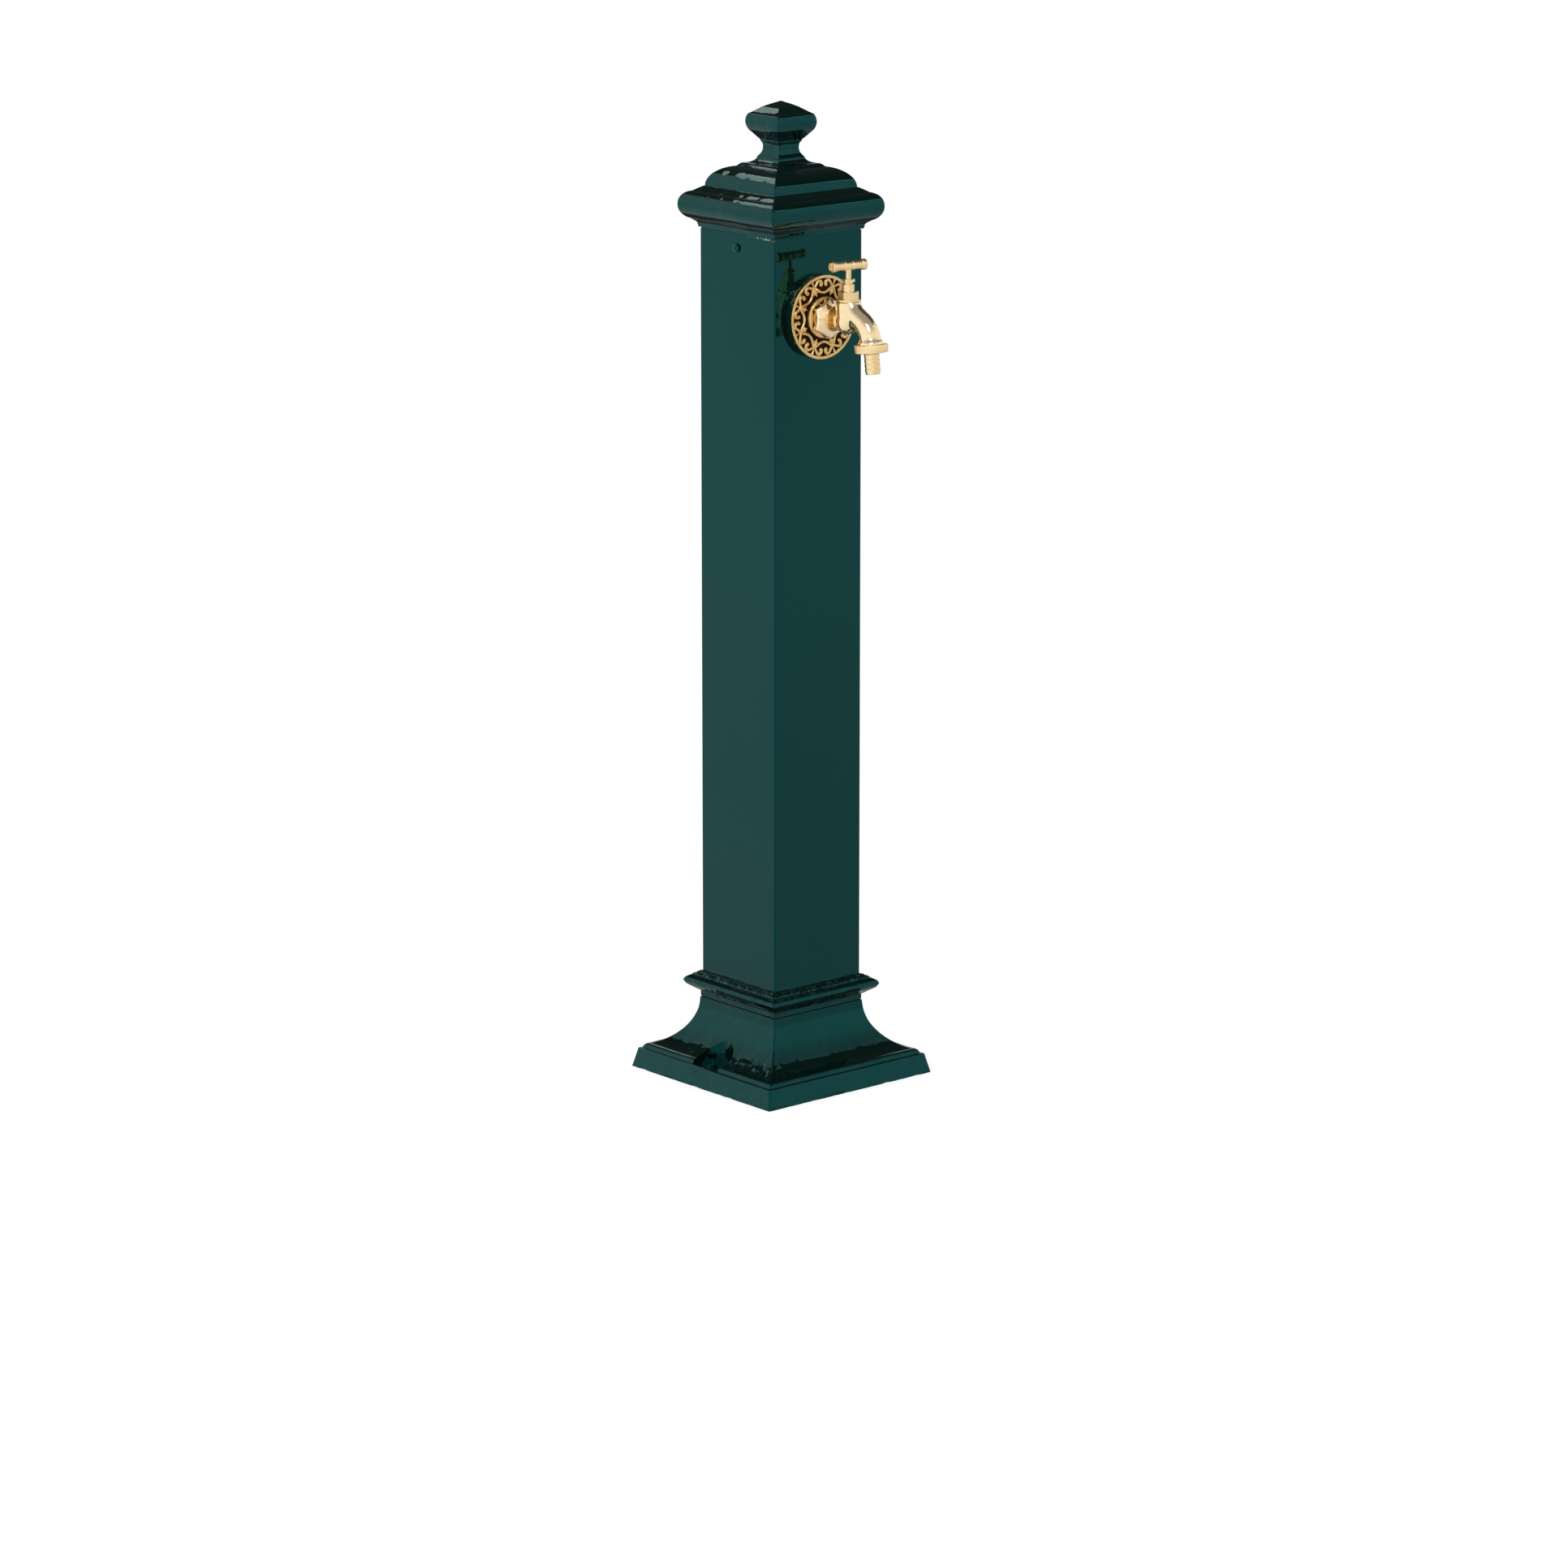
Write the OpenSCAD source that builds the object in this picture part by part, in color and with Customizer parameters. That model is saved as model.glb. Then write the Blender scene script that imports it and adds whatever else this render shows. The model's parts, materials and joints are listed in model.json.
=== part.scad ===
// Garden standpipe: a square column on a cast foot, with a cast cap, a knob finial and a brass bib tap.
// Millimetres, +Z up. The origin is on the column's axis at the underside of the foot. The tap faces -Y.

/* [Column tube] */
// Outside width of the square tube
tube_w = 110; // [96:1:140]
// Length of the tube
tube_len = 764; // [500:1:1000]
// Wall thickness of the tube
tube_wall = 2; // [1.6:0.1:3]
// Radius of the tube's four long edges
tube_edge_r = 1.4; // [0.5:0.1:1.5]

/* [Foot casting] */
// Height of the foot below the tube
foot_h = 73; // [66:1:90]
// How far the foot's lower edge stands out from the tube's face
foot_out = 50.2; // [46:0.2:60]
// Height of the slanted band round the foot's edge
foot_band_h = 19.2; // [16:0.2:24]
// How far the slanted band leans in towards its top
foot_band_lean = 4.4; // [2:0.2:7]
// Width of the ledge above the slanted band
foot_ledge = 3.3; // [1.5:0.1:4]
// Radius of the bead above the ledge
foot_bead_r = 4.5; // [3:0.1:5]
// How far the top of the foot's neck stands out from the tube's face
foot_neck_out = 2; // [1.5:0.1:3]
// Wall thickness of the square spigot that goes up inside the tube
spigot_wall = 6; // [5:0.2:9]
// Height of the spigot above the foot's shoulder
spigot_h = 28; // [24:1:40]
// Thickness of the foot's flange plate over the recess in its underside
foot_plate_t = 10.5; // [8:0.5:12]
// Width of the rim round the recess in the foot's underside
foot_rim_w = 8; // [6:0.5:11]

/* [Ground anchors] */
// Distance of each anchor hole from the column's axis
anchor_x = 89; // [87:0.5:91]
// Radius of each anchor hole
anchor_hole_r = 4.5; // [3.5:0.1:6]
// Radius of the pocket cut in the cove above each anchor hole
anchor_pocket_r = 21; // [14:0.5:23]
// Radius of the boss round each anchor hole, inside the recess
anchor_boss_r = 11; // [9:0.5:13]

/* [Collar casting] */
// Height of the collar
collar_h = 25; // [22:0.5:30]
// How far the collar's sharp edge stands out from the tube's face
collar_out = 14; // [10:0.5:18]
// Height of the plain band at the collar's foot
collar_band_h = 5; // [3:0.5:7]
// How far the plain band stands out from the tube's face
collar_band_out = 1.5; // [1.2:0.1:3]
// Height of the dark groove between foot and collar
collar_groove_h = 1; // [0.5:0.1:1.5]
// Width of the rough filler bead on the collar's top
filler_w = 8.5; // [5:0.5:10]

/* [Cap casting] */
// Height of the plain band under the cap's roll
cap_band_h = 7; // [5:0.5:10]
// How far the plain band stands out from the tube's face
cap_band_out = 1; // [0.5:0.1:2]
// Radius of the cap's large half-round roll
cap_roll_r = 12.7; // [10:0.1:14]
// Depth of the roll's fuller underside below its widest line
cap_roll_under = 15; // [12:0.5:16]
// How far the roll stands out from the tube's face
cap_roll_out = 16; // [14:0.5:20]
// Width of the ledge between the roll and the dome
cap_ledge = 4.5; // [3:0.5:7]
// Height of the dome above the ledge
cap_dome_h = 20.5; // [16:0.5:26]
// Half width of the flat step on top of the dome
cap_step_w = 28; // [26:0.5:32]
// Height of the small hollow between the step and the knob
cap_crown_h = 8; // [6:0.5:12]
// Depth of the cap's skirt inside the tube
cap_skirt_h = 25; // [20:1:40]
// Wall thickness of the skirt
cap_skirt_t = 6; // [5:0.5:8]
// Distance of the cap screws below the tube's top end
cap_screw_drop = 13.5; // [8:0.5:16]

/* [Knob finial] */
// Height of the knob above the cap's crown
knob_h = 53.5; // [46:0.5:65]
// Half width of the knob at its widest
knob_w = 24.5; // [20:0.5:28]
// Half width of the knob's neck
knob_neck_w = 12.4; // [9:0.2:15]
// Half width of the knob's foot
knob_foot_w = 16.5; // [16:0.5:18]
// Height of the fine bead on top of the neck
knob_bead_h = 16; // [14:0.5:20]
// Height of the knob's widest point
knob_wide_h = 34.3; // [30:0.5:38]

/* [Rosette] */
// Radius of the rosette
rosette_r = 40.5; // [36:0.1:46]
// Thickness of the rosette's painted ground
rosette_ground_t = 5; // [4:0.5:7]
// Height of the polished relief above the ground
rosette_relief_h = 3.5; // [2:0.5:5]
// Width of the rosette's rim
rosette_rim_w = 3.2; // [2:0.1:5]
// Radius of the rosette's raised middle at its foot
rosette_hub_r = 20; // [18:0.5:22]
// How far the raised middle stands above the relief
rosette_hub_rise = 2.5; // [1:0.5:4]
// Number of scrolls round the rosette
scroll_count = 8; // [6:1:10]
// Distance of each scroll's middle from the rosette's middle
scroll_ring_r = 30.2; // [28:0.1:32]
// Radius of each scroll's middle line
scroll_r = 6.1; // [5:0.1:7]
// Width of each scroll's bar
scroll_w = 2; // [1.4:0.1:2.6]

/* [Tap] */
// Distance of the tap's inlet axis below the tube's top end
tap_drop = 78; // [70:1:200]
// Width across flats of the inlet hexagon
inlet_hex_w = 35; // [30:0.5:37]
// Thickness of the inlet hexagon
inlet_hex_t = 11; // [8:0.5:14]
// Radius of the threaded tail that goes through the wall
tail_r = 10.48; // [9:0.02:11]
// Length of the threaded tail
tail_len = 32; // [30:0.5:36]
// Radius of the neck between hexagon and barrel
neck_r = 10.25; // [9:0.05:11]
// Length from the hexagon to the barrel's axis
neck_len = 21; // [18:0.5:30]
// Radius of the barrel
barrel_r = 11.75; // [11.2:0.05:14]
// Height of the barrel above the inlet axis
barrel_h = 19; // [18:0.5:22]
// Radius of the water way in the tail and neck
water_r = 4.6; // [3.5:0.1:4.8]
// Radius of the valve seat's hole
seat_hole_r = 4.6; // [4:0.1:4.8]
// Outside radius of the spout
spout_r = 9.75; // [8.5:0.05:10.4]
// Radius of the water way in the spout
spout_bore_r = 5; // [4:0.1:5.2]
// Slope of the spout where it leaves the barrel, in degrees below level
spout_slope = 28; // [22:1:32]
// Length of the spout's straight run, from the barrel's axis
spout_run = 22.4; // [20:0.2:30]
// Height of the spout's root above the inlet axis
spout_root_h = 12.7; // [12:0.1:13]
// Radius of the spout's bend
spout_bend_r = 24; // [18:0.5:32]
// Lean of the outlet away from the column, in degrees
outlet_lean = 7; // [0:1:12]
// Radius of the outlet's male thread
outlet_r = 12.6; // [11.5:0.1:13.2]

/* [Headwork] */
// Radius of the bonnet's flange
bonnet_flange_r = 11.5; // [10.6:0.1:13]
// Thickness of the bonnet's flange
bonnet_flange_t = 1.9; // [1.5:0.1:3]
// Width across flats of the bonnet's hexagon
bonnet_hex_w = 17.3; // [16.6:0.1:19]
// Height of the bonnet's hexagon
bonnet_hex_h = 7.3; // [6.6:0.1:9]
// Radius of the bonnet's round top
bonnet_top_r = 5.75; // [5.4:0.05:7]
// Height of the bonnet's round top
bonnet_top_h = 7; // [6:0.5:10]
// Radius of the gland nut's head
gland_head_r = 6.35; // [5.5:0.05:8]
// Radius of the spindle
spindle_r = 2.75; // [2.2:0.05:3]
// Height of the handle's axis above the gland nut
handle_rise = 12.5; // [8:0.5:18]
// Length of the T-bar
handle_len = 40; // [34:1:56]
// Radius of the T-bar's arms
handle_arm_r = 4.1; // [3.6:0.1:5]
// Radius of the T-bar's end knobs
handle_knob_r = 5.15; // [4.6:0.05:6.5]
// Turn of the T-bar about the spindle in the closed position
handle_turn = -7; // [-40:1:40]

/* [Hose union] */
// Radius of the knurled union nut
nut_r = 16.15; // [14.8:0.05:18]
// Height of the union nut
nut_h = 8.2; // [7.4:0.1:10]
// Radius of the hose tail over its barbs
barb_r = 7.6; // [7.2:0.1:8]
// Depth of each barb
barb_depth = 0.7; // [0.3:0.1:1]
// Number of barbs
barb_count = 4; // [2:1:6]
// Distance from one barb to the next
barb_pitch = 4.6; // [3:0.1:6]
// Radius of the hose tail's bore
hose_bore_r = 5; // [4:0.1:5.4]

/* [Supply pipe] */
// Outside radius of the supply pipe
pipe_r = 10.65; // [10.5:0.05:11]
// Wall thickness of the supply pipe
pipe_wall = 2.6; // [2:0.1:3.2]
// Distance from the end of the tap's tail to the pipe's axis
elbow_reach = 18; // [16.4:0.2:22]
// Length of the elbow's leg below the inlet axis
elbow_leg = 37; // [32:1:50]
// How far the pipe goes up into the elbow's leg
pipe_insert = 22; // [14:1:24]
// Outside radius of the elbow's leg
elbow_r = 14.5; // [14.2:0.1:16]
// Thickness of the guide plate in the foot
guide_t = 4; // [3:0.5:6]

/* [Hidden] */
$fn = 64;

// Clearances
fit_gap = 0.3;       // castings that slip together
thread_gap = 0.05;   // a screw thread in its hole
slide_gap = 0.07;    // a shaft or pipe that slides in its bore
turn_gap = 0.1;      // faces that turn against each other

// Column
tube_half = tube_w / 2;
tube_in = tube_half - tube_wall;
tube_z = foot_h;
tube_top = tube_z + tube_len;
spigot_half = tube_in - fit_gap;
socket_half = tube_half + fit_gap;

// Foot
foot_half = tube_half + foot_out;
band_half = foot_half - foot_band_lean;
bead_half = band_half - foot_ledge;
neck_half = tube_half + foot_neck_out;
bead_z = foot_band_h + 0.3;
cove_z = bead_z + foot_bead_r;
cove_half = bead_half - foot_bead_r - 1;
cove_dx = cove_half - neck_half;
cove_dz = foot_h - cove_z;
cove_r = (cove_dx * cove_dx + cove_dz * cove_dz) / (2 * cove_dx);
cove_sweep = asin(cove_dz / cove_r);
recess_half = foot_half - foot_rim_w;
recess_h = bead_z - foot_plate_t;
bore_half = spigot_half - spigot_wall;
throat_half = anchor_x - anchor_pocket_r - 8;
tube_screw_z = foot_h + spigot_h / 2;
tube_screw_r = 2.5;
tube_screw_len = 7;

// Collar
collar_edge_z = collar_h - 8;
collar_top_z = foot_h + collar_h - 1.5;

// Cap
cap_band_half = tube_half + cap_band_out;
cap_roll_half = tube_half + cap_roll_out;
roll_z = cap_band_h + cap_roll_under + 1.5;
roll_x = cap_roll_half - cap_roll_r;
ledge_z = roll_z + cap_roll_r + 2.5;
dome_half = roll_x - 2 - cap_ledge;
dome_z = ledge_z + 2;
step_z = dome_z + cap_dome_h;
crown_z = step_z + cap_crown_h;
crown_top = tube_top + crown_z;
cap_wall = 7;
cap_screw_z = tube_top - cap_screw_drop;
cap_screw_r = 2.5;
cap_screw_head_r = 4.25;
cap_screw_len = 8;

// Finial fixing
stud_r = 4;
stud_in_knob = 22;
finial_nut_w = 13;
finial_nut_h = 6.5;
cap_roof_z = crown_top - 11;
stud_below = 4;

// Tap
wall_y = -tube_half;
tap_z = tube_top - tap_drop;
hub_t = rosette_ground_t + rosette_relief_h + rosette_hub_rise;
scroll_gap = 2 * scroll_ring_r * sin(180 / scroll_count) - 2 * scroll_r;
hex_back_y = wall_y - hub_t;
hex_front_y = hex_back_y - inlet_hex_t;
barrel_y = hex_front_y - neck_len;
barrel_top = tap_z + barrel_h;
tail_end_y = hex_back_y + tail_len;
plug_h = 6;
plug_r = barrel_r - 2.35;
chamber_r = barrel_r - 3.5;
seat_z = tap_z + 6.6;
lower_chamber_r = 6.5;
lip_h = 0.8;
web_z = tap_z + water_r + 0.2;
root_z = tap_z + spout_root_h;
bend_y = barrel_y - spout_run * cos(spout_slope) + spout_bend_r * sin(spout_slope);
bend_z = root_z - spout_run * sin(spout_slope) - spout_bend_r * cos(spout_slope);
outlet_y = bend_y - spout_bend_r * cos(outlet_lean);
outlet_z = bend_z + spout_bend_r * sin(outlet_lean);

// Headwork
bonnet_seal_t = 0.8;
flange_z = barrel_top + bonnet_seal_t;
bonnet_hex_z = flange_z + bonnet_flange_t;
bonnet_top_z = bonnet_hex_z + bonnet_hex_h;
bonnet_end_z = bonnet_top_z + bonnet_top_h;
gland_gap = 2;
gland_z = bonnet_end_z + gland_gap;
gland_h = 3;
packing_r = bonnet_top_r - 1.5;
packing_h = 3.5;
packing_z = bonnet_end_z - 5;
handle_z = gland_z + gland_h + handle_rise;
screw_r = 5.2;
screw_h = 11;
valve_lift = 4.5;
washer_z = seat_z + lip_h;
washer_t = 2.8;
washer_r = 6.3;
plate_t = 2;
plate_z = washer_z + washer_t;
stem_r = 2.4;
spindle_z = plate_z + plate_t + 0.3;
bonnet_room_z = flange_z + 0.7;

// Hose union, measured along the outlet's axis, downwards from the end of the bend
nut_top = 1.55;
nut_lip = 1.5;
nut_bottom = nut_top + nut_h;
hose_washer_t = 1.2;
tail_flange_t = 1.5;
tail_flange_bottom = nut_bottom - nut_lip - turn_gap;
tail_flange_top = tail_flange_bottom - tail_flange_t;
outlet_end = tail_flange_top - hose_washer_t;
tail_neck = 1.2;
tail_tip = 0.9;
tail_end = nut_bottom + tail_neck + barb_count * barb_pitch + tail_tip;

// Supply
pipe_y = tail_end_y + elbow_reach;
socket_y = tail_end_y - 9.5;
elbow_end_z = tap_z - elbow_leg;
pipe_top = elbow_end_z + pipe_insert;
seal_h = 4;
elbow_nut_w = 34;
elbow_nut_h = 16;
elbow_nut_z = elbow_end_z - seal_h - 4;
guide_z = foot_h - 12;
guide_screw_x = bore_half - 9;
guide_screw_r = 2.5;
guide_screw_head_h = 3;
guide_screw_reach = 9;
guide_lug_h = 10;
washer_plate_t = 1.5;
back_nut_w = 30;
back_nut_t = 6;

green = "#1d4542";
brass = "#c9a45c";
steel = "#8b8e90";

// Points on an elliptical arc in the profile plane, from angle a0 to angle a1
function arc(x, z, rx, rz, a0, a1, steps = 10) =
    [for (i = [0 : steps]) let (a = a0 + (a1 - a0) * i / steps) [x + rx * cos(a), z + rz * sin(a)]];

// Square solid with mitred corners, whose half width follows the points [half width, height]
module mitred(points) {
    reach = 2 * max([for (p = points) p[0]]) + 2;
    last = len(points) - 1;
    outline = concat(points, [for (i = [last : -1 : 0]) [-points[i][0], points[i][1]]]);
    intersection() {
        rotate([90, 0, 0])
            linear_extrude(reach, center = true)
                polygon(outline);
        rotate([90, 0, 90])
            linear_extrude(reach, center = true)
                polygon(outline);
    }
}

// Square prism with half width w, from height z0 to height z1
module square_prism(w, z0, z1) {
    translate([-w, -w, z0])
        cube([2 * w, 2 * w, z1 - z0]);
}

// Square outline with rounded corners
module round_square(half, r) {
    square([2 * half, 2 * half - 2 * r], center = true);
    square([2 * half - 2 * r, 2 * half], center = true);
    for (x = [-1, 1])
        for (y = [-1, 1])
            translate([x * (half - r), y * (half - r)])
                circle(r);
}

// Cylinder along Y, from y0 to y1, at height z
module y_cylinder(r, y0, y1, z, x = 0) {
    translate([x, max(y0, y1), z])
        rotate([90, 0, 0])
            cylinder(r = r, h = abs(y1 - y0));
}

// Upright tube between two radii
module ring(r_out, r_in, z, h) {
    translate([0, 0, z])
        difference() {
            cylinder(r = r_out, h = h);
            translate([0, 0, -1])
                cylinder(r = r_in, h = h + 2);
        }
}

// Upright hexagonal prism of a width across flats
module hexagon(w, h) {
    cylinder(r = w / sqrt(3), h = h, $fn = 6);
}

// Places its children on the spindle's axis
module at_barrel() {
    translate([0, barrel_y, 0])
        children();
}

// Places its children at the end of the bend, with -Z down the leaning outlet axis
module at_outlet() {
    translate([0, outlet_y, outlet_z])
        rotate([-outlet_lean, 0, 0])
            children();
}

// The spout's path as a solid of radius r, starting a distance along its straight run
module spout_path(r, start) {
    bend_end = 90 - spout_slope;
    run_r = r + 0.05;
    translate([0, bend_y, bend_z])
        rotate([90, 0, -90])
            rotate([0, 0, outlet_lean])
                rotate_extrude(angle = bend_end - outlet_lean)
                    translate([spout_bend_r, 0])
                        circle(r);
    translate([0, barrel_y - start * cos(spout_slope), root_z - start * sin(spout_slope)])
        rotate([180 - bend_end, 0, 0])
            cylinder(r = run_r, h = spout_run - start + 0.3);
}

module foot_profile() {
    mitred(concat(
        [[foot_half, 0], [band_half, foot_band_h], [bead_half, bead_z]],
        arc(bead_half - foot_bead_r, bead_z, foot_bead_r, foot_bead_r, 0, 90, 6),
        arc(neck_half + cove_r, foot_h, cove_r, cove_r, 180 + cove_sweep, 180, 14)));
}

module base_foot() {
    color(green)
    difference() {
        union() {
            difference() {
                foot_profile();
                square_prism(recess_half, -1, recess_h);
                mitred([[throat_half, -1], [throat_half, recess_h + 16], [bore_half, foot_h - 22],
                    [bore_half, foot_h + 1]]);
            }
            difference() {
                square_prism(spigot_half, foot_h - 4, foot_h + spigot_h);
                square_prism(bore_half, foot_h - 5, foot_h + spigot_h + 1);
            }
            for (side = [-1, 1]) {
                translate([side * anchor_x, 0, 0])
                    cylinder(r = anchor_boss_r, h = recess_h + 1);
                translate([side * (bore_half - 7.5) - 9, -9, guide_z - guide_lug_h])
                    cube([18, 18, guide_lug_h]);
            }
        }
        for (side = [-1, 1]) {
            translate([side * anchor_x, 0, -1])
                cylinder(r = anchor_hole_r, h = bead_z + 2);
            translate([side * anchor_x, 0, bead_z])
                cylinder(r = anchor_pocket_r, h = foot_h);
            translate([side * guide_screw_x, 0, guide_z - guide_lug_h - 1])
                cylinder(r = guide_screw_r + thread_gap, h = guide_lug_h + 2);
        }
        tube_screw_holes(tube_screw_r + thread_gap);
    }
}

// The four screws that hold the tube to the spigot, or their holes
module tube_screw_holes(r) {
    for (turn = [0 : 90 : 270])
        rotate([0, 0, turn])
            translate([0, -tube_half + tube_wall, tube_screw_z])
                rotate([-90, 0, 0])
                    cylinder(r = r, h = tube_screw_len - tube_wall + 0.5);
}

module tube_screws() {
    head = tube_screw_r + tube_wall;
    color(steel)
    for (turn = [0 : 90 : 270])
        rotate([0, 0, turn])
            translate([0, -tube_half, tube_screw_z])
                rotate([-90, 0, 0])
                    difference() {
                        union() {
                            cylinder(r1 = head, r2 = tube_screw_r, h = tube_wall);
                            cylinder(r = tube_screw_r, h = tube_screw_len);
                        }
                        translate([0, 0, -1])
                            hexagon(2.5, 2.6);
                    }
}

module base_collar() {
    z = foot_h;
    edge = tube_half + collar_out;
    band = tube_half + collar_band_out;
    color(green)
    difference() {
        mitred([[band - 0.6, z], [band - 0.6, z + collar_groove_h],
            [band, z + collar_groove_h], [band, z + collar_groove_h + collar_band_h],
            [band + 2.5, z + collar_groove_h + collar_band_h + 1.5],
            [edge - 2, z + collar_edge_z - 3.7], [edge, z + collar_edge_z],
            [edge - 1.5, z + collar_edge_z + 3], [tube_half + filler_w, collar_top_z - 1],
            [tube_half + fit_gap + 1, collar_top_z - 1]]);
        square_prism(socket_half, z - 1, z + collar_h + 1);
    }
}

module collar_bead() {
    low = collar_top_z - 1;
    color(green)
    difference() {
        mitred([[tube_half + filler_w - 0.3, low], [tube_half + filler_w - 1.5, low + 1.6],
            [tube_half + 4, low + 2.8], [tube_half + 1.5, low + 4]]);
        square_prism(tube_half, low - 1, low + 10);
    }
}

module column_tube() {
    color(green)
    difference() {
        translate([0, 0, tube_z])
            linear_extrude(tube_len)
                difference() {
                    round_square(tube_half, tube_edge_r);
                    square(2 * tube_in, center = true);
                }
        y_cylinder(tail_r + fit_gap, wall_y - 1, wall_y + tube_wall + 1, tap_z);
        for (turn = [0 : 90 : 270])
            rotate([0, 0, turn])
                translate([0, -tube_half - 0.5, tube_screw_z])
                    rotate([-90, 0, 0]) {
                        cylinder(r1 = tube_screw_r + tube_wall + thread_gap + 0.5,
                            r2 = tube_screw_r + thread_gap, h = tube_wall + 0.5);
                        cylinder(r = tube_screw_r + thread_gap, h = tube_wall + 2);
                    }
        for (side = [-1, 1])
            translate([side * tube_half, 0, cap_screw_z])
                rotate([0, 90, 0])
                    cylinder(r = cap_screw_r + fit_gap, h = 2 * tube_wall + 2, center = true);
    }
}

module pipe_guide() {
    half = bore_half - fit_gap;
    color(steel)
    difference() {
        square_prism(half, guide_z, guide_z + guide_t);
        translate([0, pipe_y, guide_z - 1])
            cylinder(r = pipe_r + slide_gap, h = guide_t + 2);
        for (side = [-1, 1])
            translate([side * guide_screw_x, 0, guide_z - 1])
                cylinder(r = guide_screw_r + thread_gap, h = guide_t + 2);
    }
}

module guide_screws() {
    color(steel)
    for (side = [-1, 1])
        translate([side * guide_screw_x, 0, guide_z + guide_t])
            difference() {
                union() {
                    cylinder(r = 2 * guide_screw_r, h = guide_screw_head_h);
                    translate([0, 0, -guide_t - guide_screw_reach])
                        cylinder(r = guide_screw_r, h = guide_t + guide_screw_reach);
                }
                translate([0, 0, guide_screw_head_h - guide_screw_r * 0.8])
                    hexagon(guide_screw_r * 1.6, guide_screw_head_h);
            }
}

module cap_casting() {
    color(green)
    difference() {
        union() {
            translate([0, 0, tube_top])
                mitred(concat(
                    [[cap_band_half, 0], [cap_band_half, cap_band_h]],
                    arc(roll_x, roll_z, cap_roll_r, cap_roll_under, -80, 0, 8),
                    arc(roll_x, roll_z, cap_roll_r, cap_roll_r, 10, 80, 7),
                    [[dome_half + cap_ledge, ledge_z], [dome_half + 1, dome_z]],
                    arc(cap_step_w + 2, dome_z, dome_half - cap_step_w - 2, cap_dome_h - 1, 0, 90, 10),
                    [[cap_step_w + 0.5, step_z]],
                    arc(cap_step_w - 1, crown_z, cap_step_w - 1 - knob_foot_w, cap_crown_h - 0.6,
                        270, 180, 6)));
            square_prism(spigot_half, tube_top - cap_skirt_h, tube_top + 1);
        }
        mitred([[spigot_half - cap_skirt_t, tube_top - cap_skirt_h - 1],
            [spigot_half - cap_skirt_t, tube_top + cap_band_h],
            [roll_x - 4, tube_top + roll_z - 4], [roll_x - 4, tube_top + roll_z + 4],
            [dome_half - cap_wall, tube_top + ledge_z - 1],
            [dome_half - cap_wall, tube_top + dome_z + 2],
            [cap_step_w, cap_roof_z - 6], [finial_nut_w + 1, cap_roof_z]]);
        cylinder(r = stud_r + thread_gap, h = crown_top + 1);
        for (side = [-1, 1])
            translate([side * spigot_half, 0, cap_screw_z])
                rotate([0, 90, 0])
                    cylinder(r = cap_screw_r + thread_gap, h = 2 * cap_skirt_t + 2, center = true);
    }
}

module cap_screws() {
    color(green)
    for (side = [-1, 1])
        translate([side * tube_half, 0, cap_screw_z])
            rotate([0, side * 90, 0])
                difference() {
                    union() {
                        translate([0, 0, -cap_screw_len])
                            cylinder(r = cap_screw_r, h = cap_screw_len + 1);
                        cylinder(r = cap_screw_head_r, h = 1.6);
                        translate([0, 0, 1.6])
                            cylinder(r1 = cap_screw_head_r, r2 = cap_screw_head_r - 1.2, h = 1);
                    }
                    for (turn = [0, 90])
                        rotate([0, 0, turn])
                            translate([-2.2, -0.5, 1.2])
                                cube([4.4, 1, 3]);
                }
}

module cap_finial() {
    shoulder = knob_wide_h + 6;
    color(green)
    difference() {
        translate([0, 0, crown_top])
            mitred(concat(
                [[knob_foot_w, 0]],
                arc(knob_neck_w + 5, 9.5, 5, 8.5, 235, 150, 8),
                [[knob_neck_w + 1.9, knob_bead_h - 0.6], [knob_neck_w + 1.9, knob_bead_h + 0.6]],
                arc(knob_w - 7, knob_wide_h, 7, 10, -55, 45, 10),
                [[knob_w - 5, shoulder + 2.8], [knob_w * 0.5, shoulder + 7.8],
                    [knob_w * 0.3, shoulder + 10.2], [0.01, knob_h]]));
        translate([0, 0, crown_top - 1])
            cylinder(r = stud_r + thread_gap, h = stud_in_knob + 2);
    }
}

module finial_stud() {
    color(steel)
    translate([0, 0, cap_roof_z - finial_nut_h - stud_below])
        cylinder(r = stud_r, h = crown_top + stud_in_knob - cap_roof_z + finial_nut_h + stud_below);
}

module finial_nut() {
    color(steel)
    translate([0, 0, cap_roof_z - finial_nut_h])
        difference() {
            hexagon(finial_nut_w, finial_nut_h);
            translate([0, 0, -1])
                cylinder(r = stud_r + thread_gap, h = finial_nut_h + 2);
        }
}

// One scroll of the rosette: a ring, open towards the rim, with a drop hanging from each end, drawn flat
module scroll_shape() {
    difference() {
        circle(scroll_r + scroll_w / 2);
        circle(scroll_r - scroll_w / 2);
        translate([-scroll_r * 0.42, 0])
            square([scroll_r * 0.84, scroll_r * 2]);
    }
    for (side = [-1, 1])
        polygon([[side * scroll_r * 0.75, scroll_r * 0.75], [side * scroll_r * 0.35, scroll_r],
            [side * scroll_r * 0.1, scroll_r * 0.3], [side * scroll_r * 0.3, scroll_r * 0.02],
            [side * scroll_r * 0.6, scroll_r * 0.2]]);
}

// The short bar that ties one scroll to the next, with its leaf towards the raised middle, drawn flat
module scroll_link() {
    leaf_y = rosette_hub_r - 0.5 - scroll_ring_r;
    square([scroll_gap, scroll_w], center = true);
    polygon([[-scroll_w * 0.4, 0], [-scroll_w * 1.1, leaf_y], [scroll_w * 1.1, leaf_y],
        [scroll_w * 0.4, 0]]);
}

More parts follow.
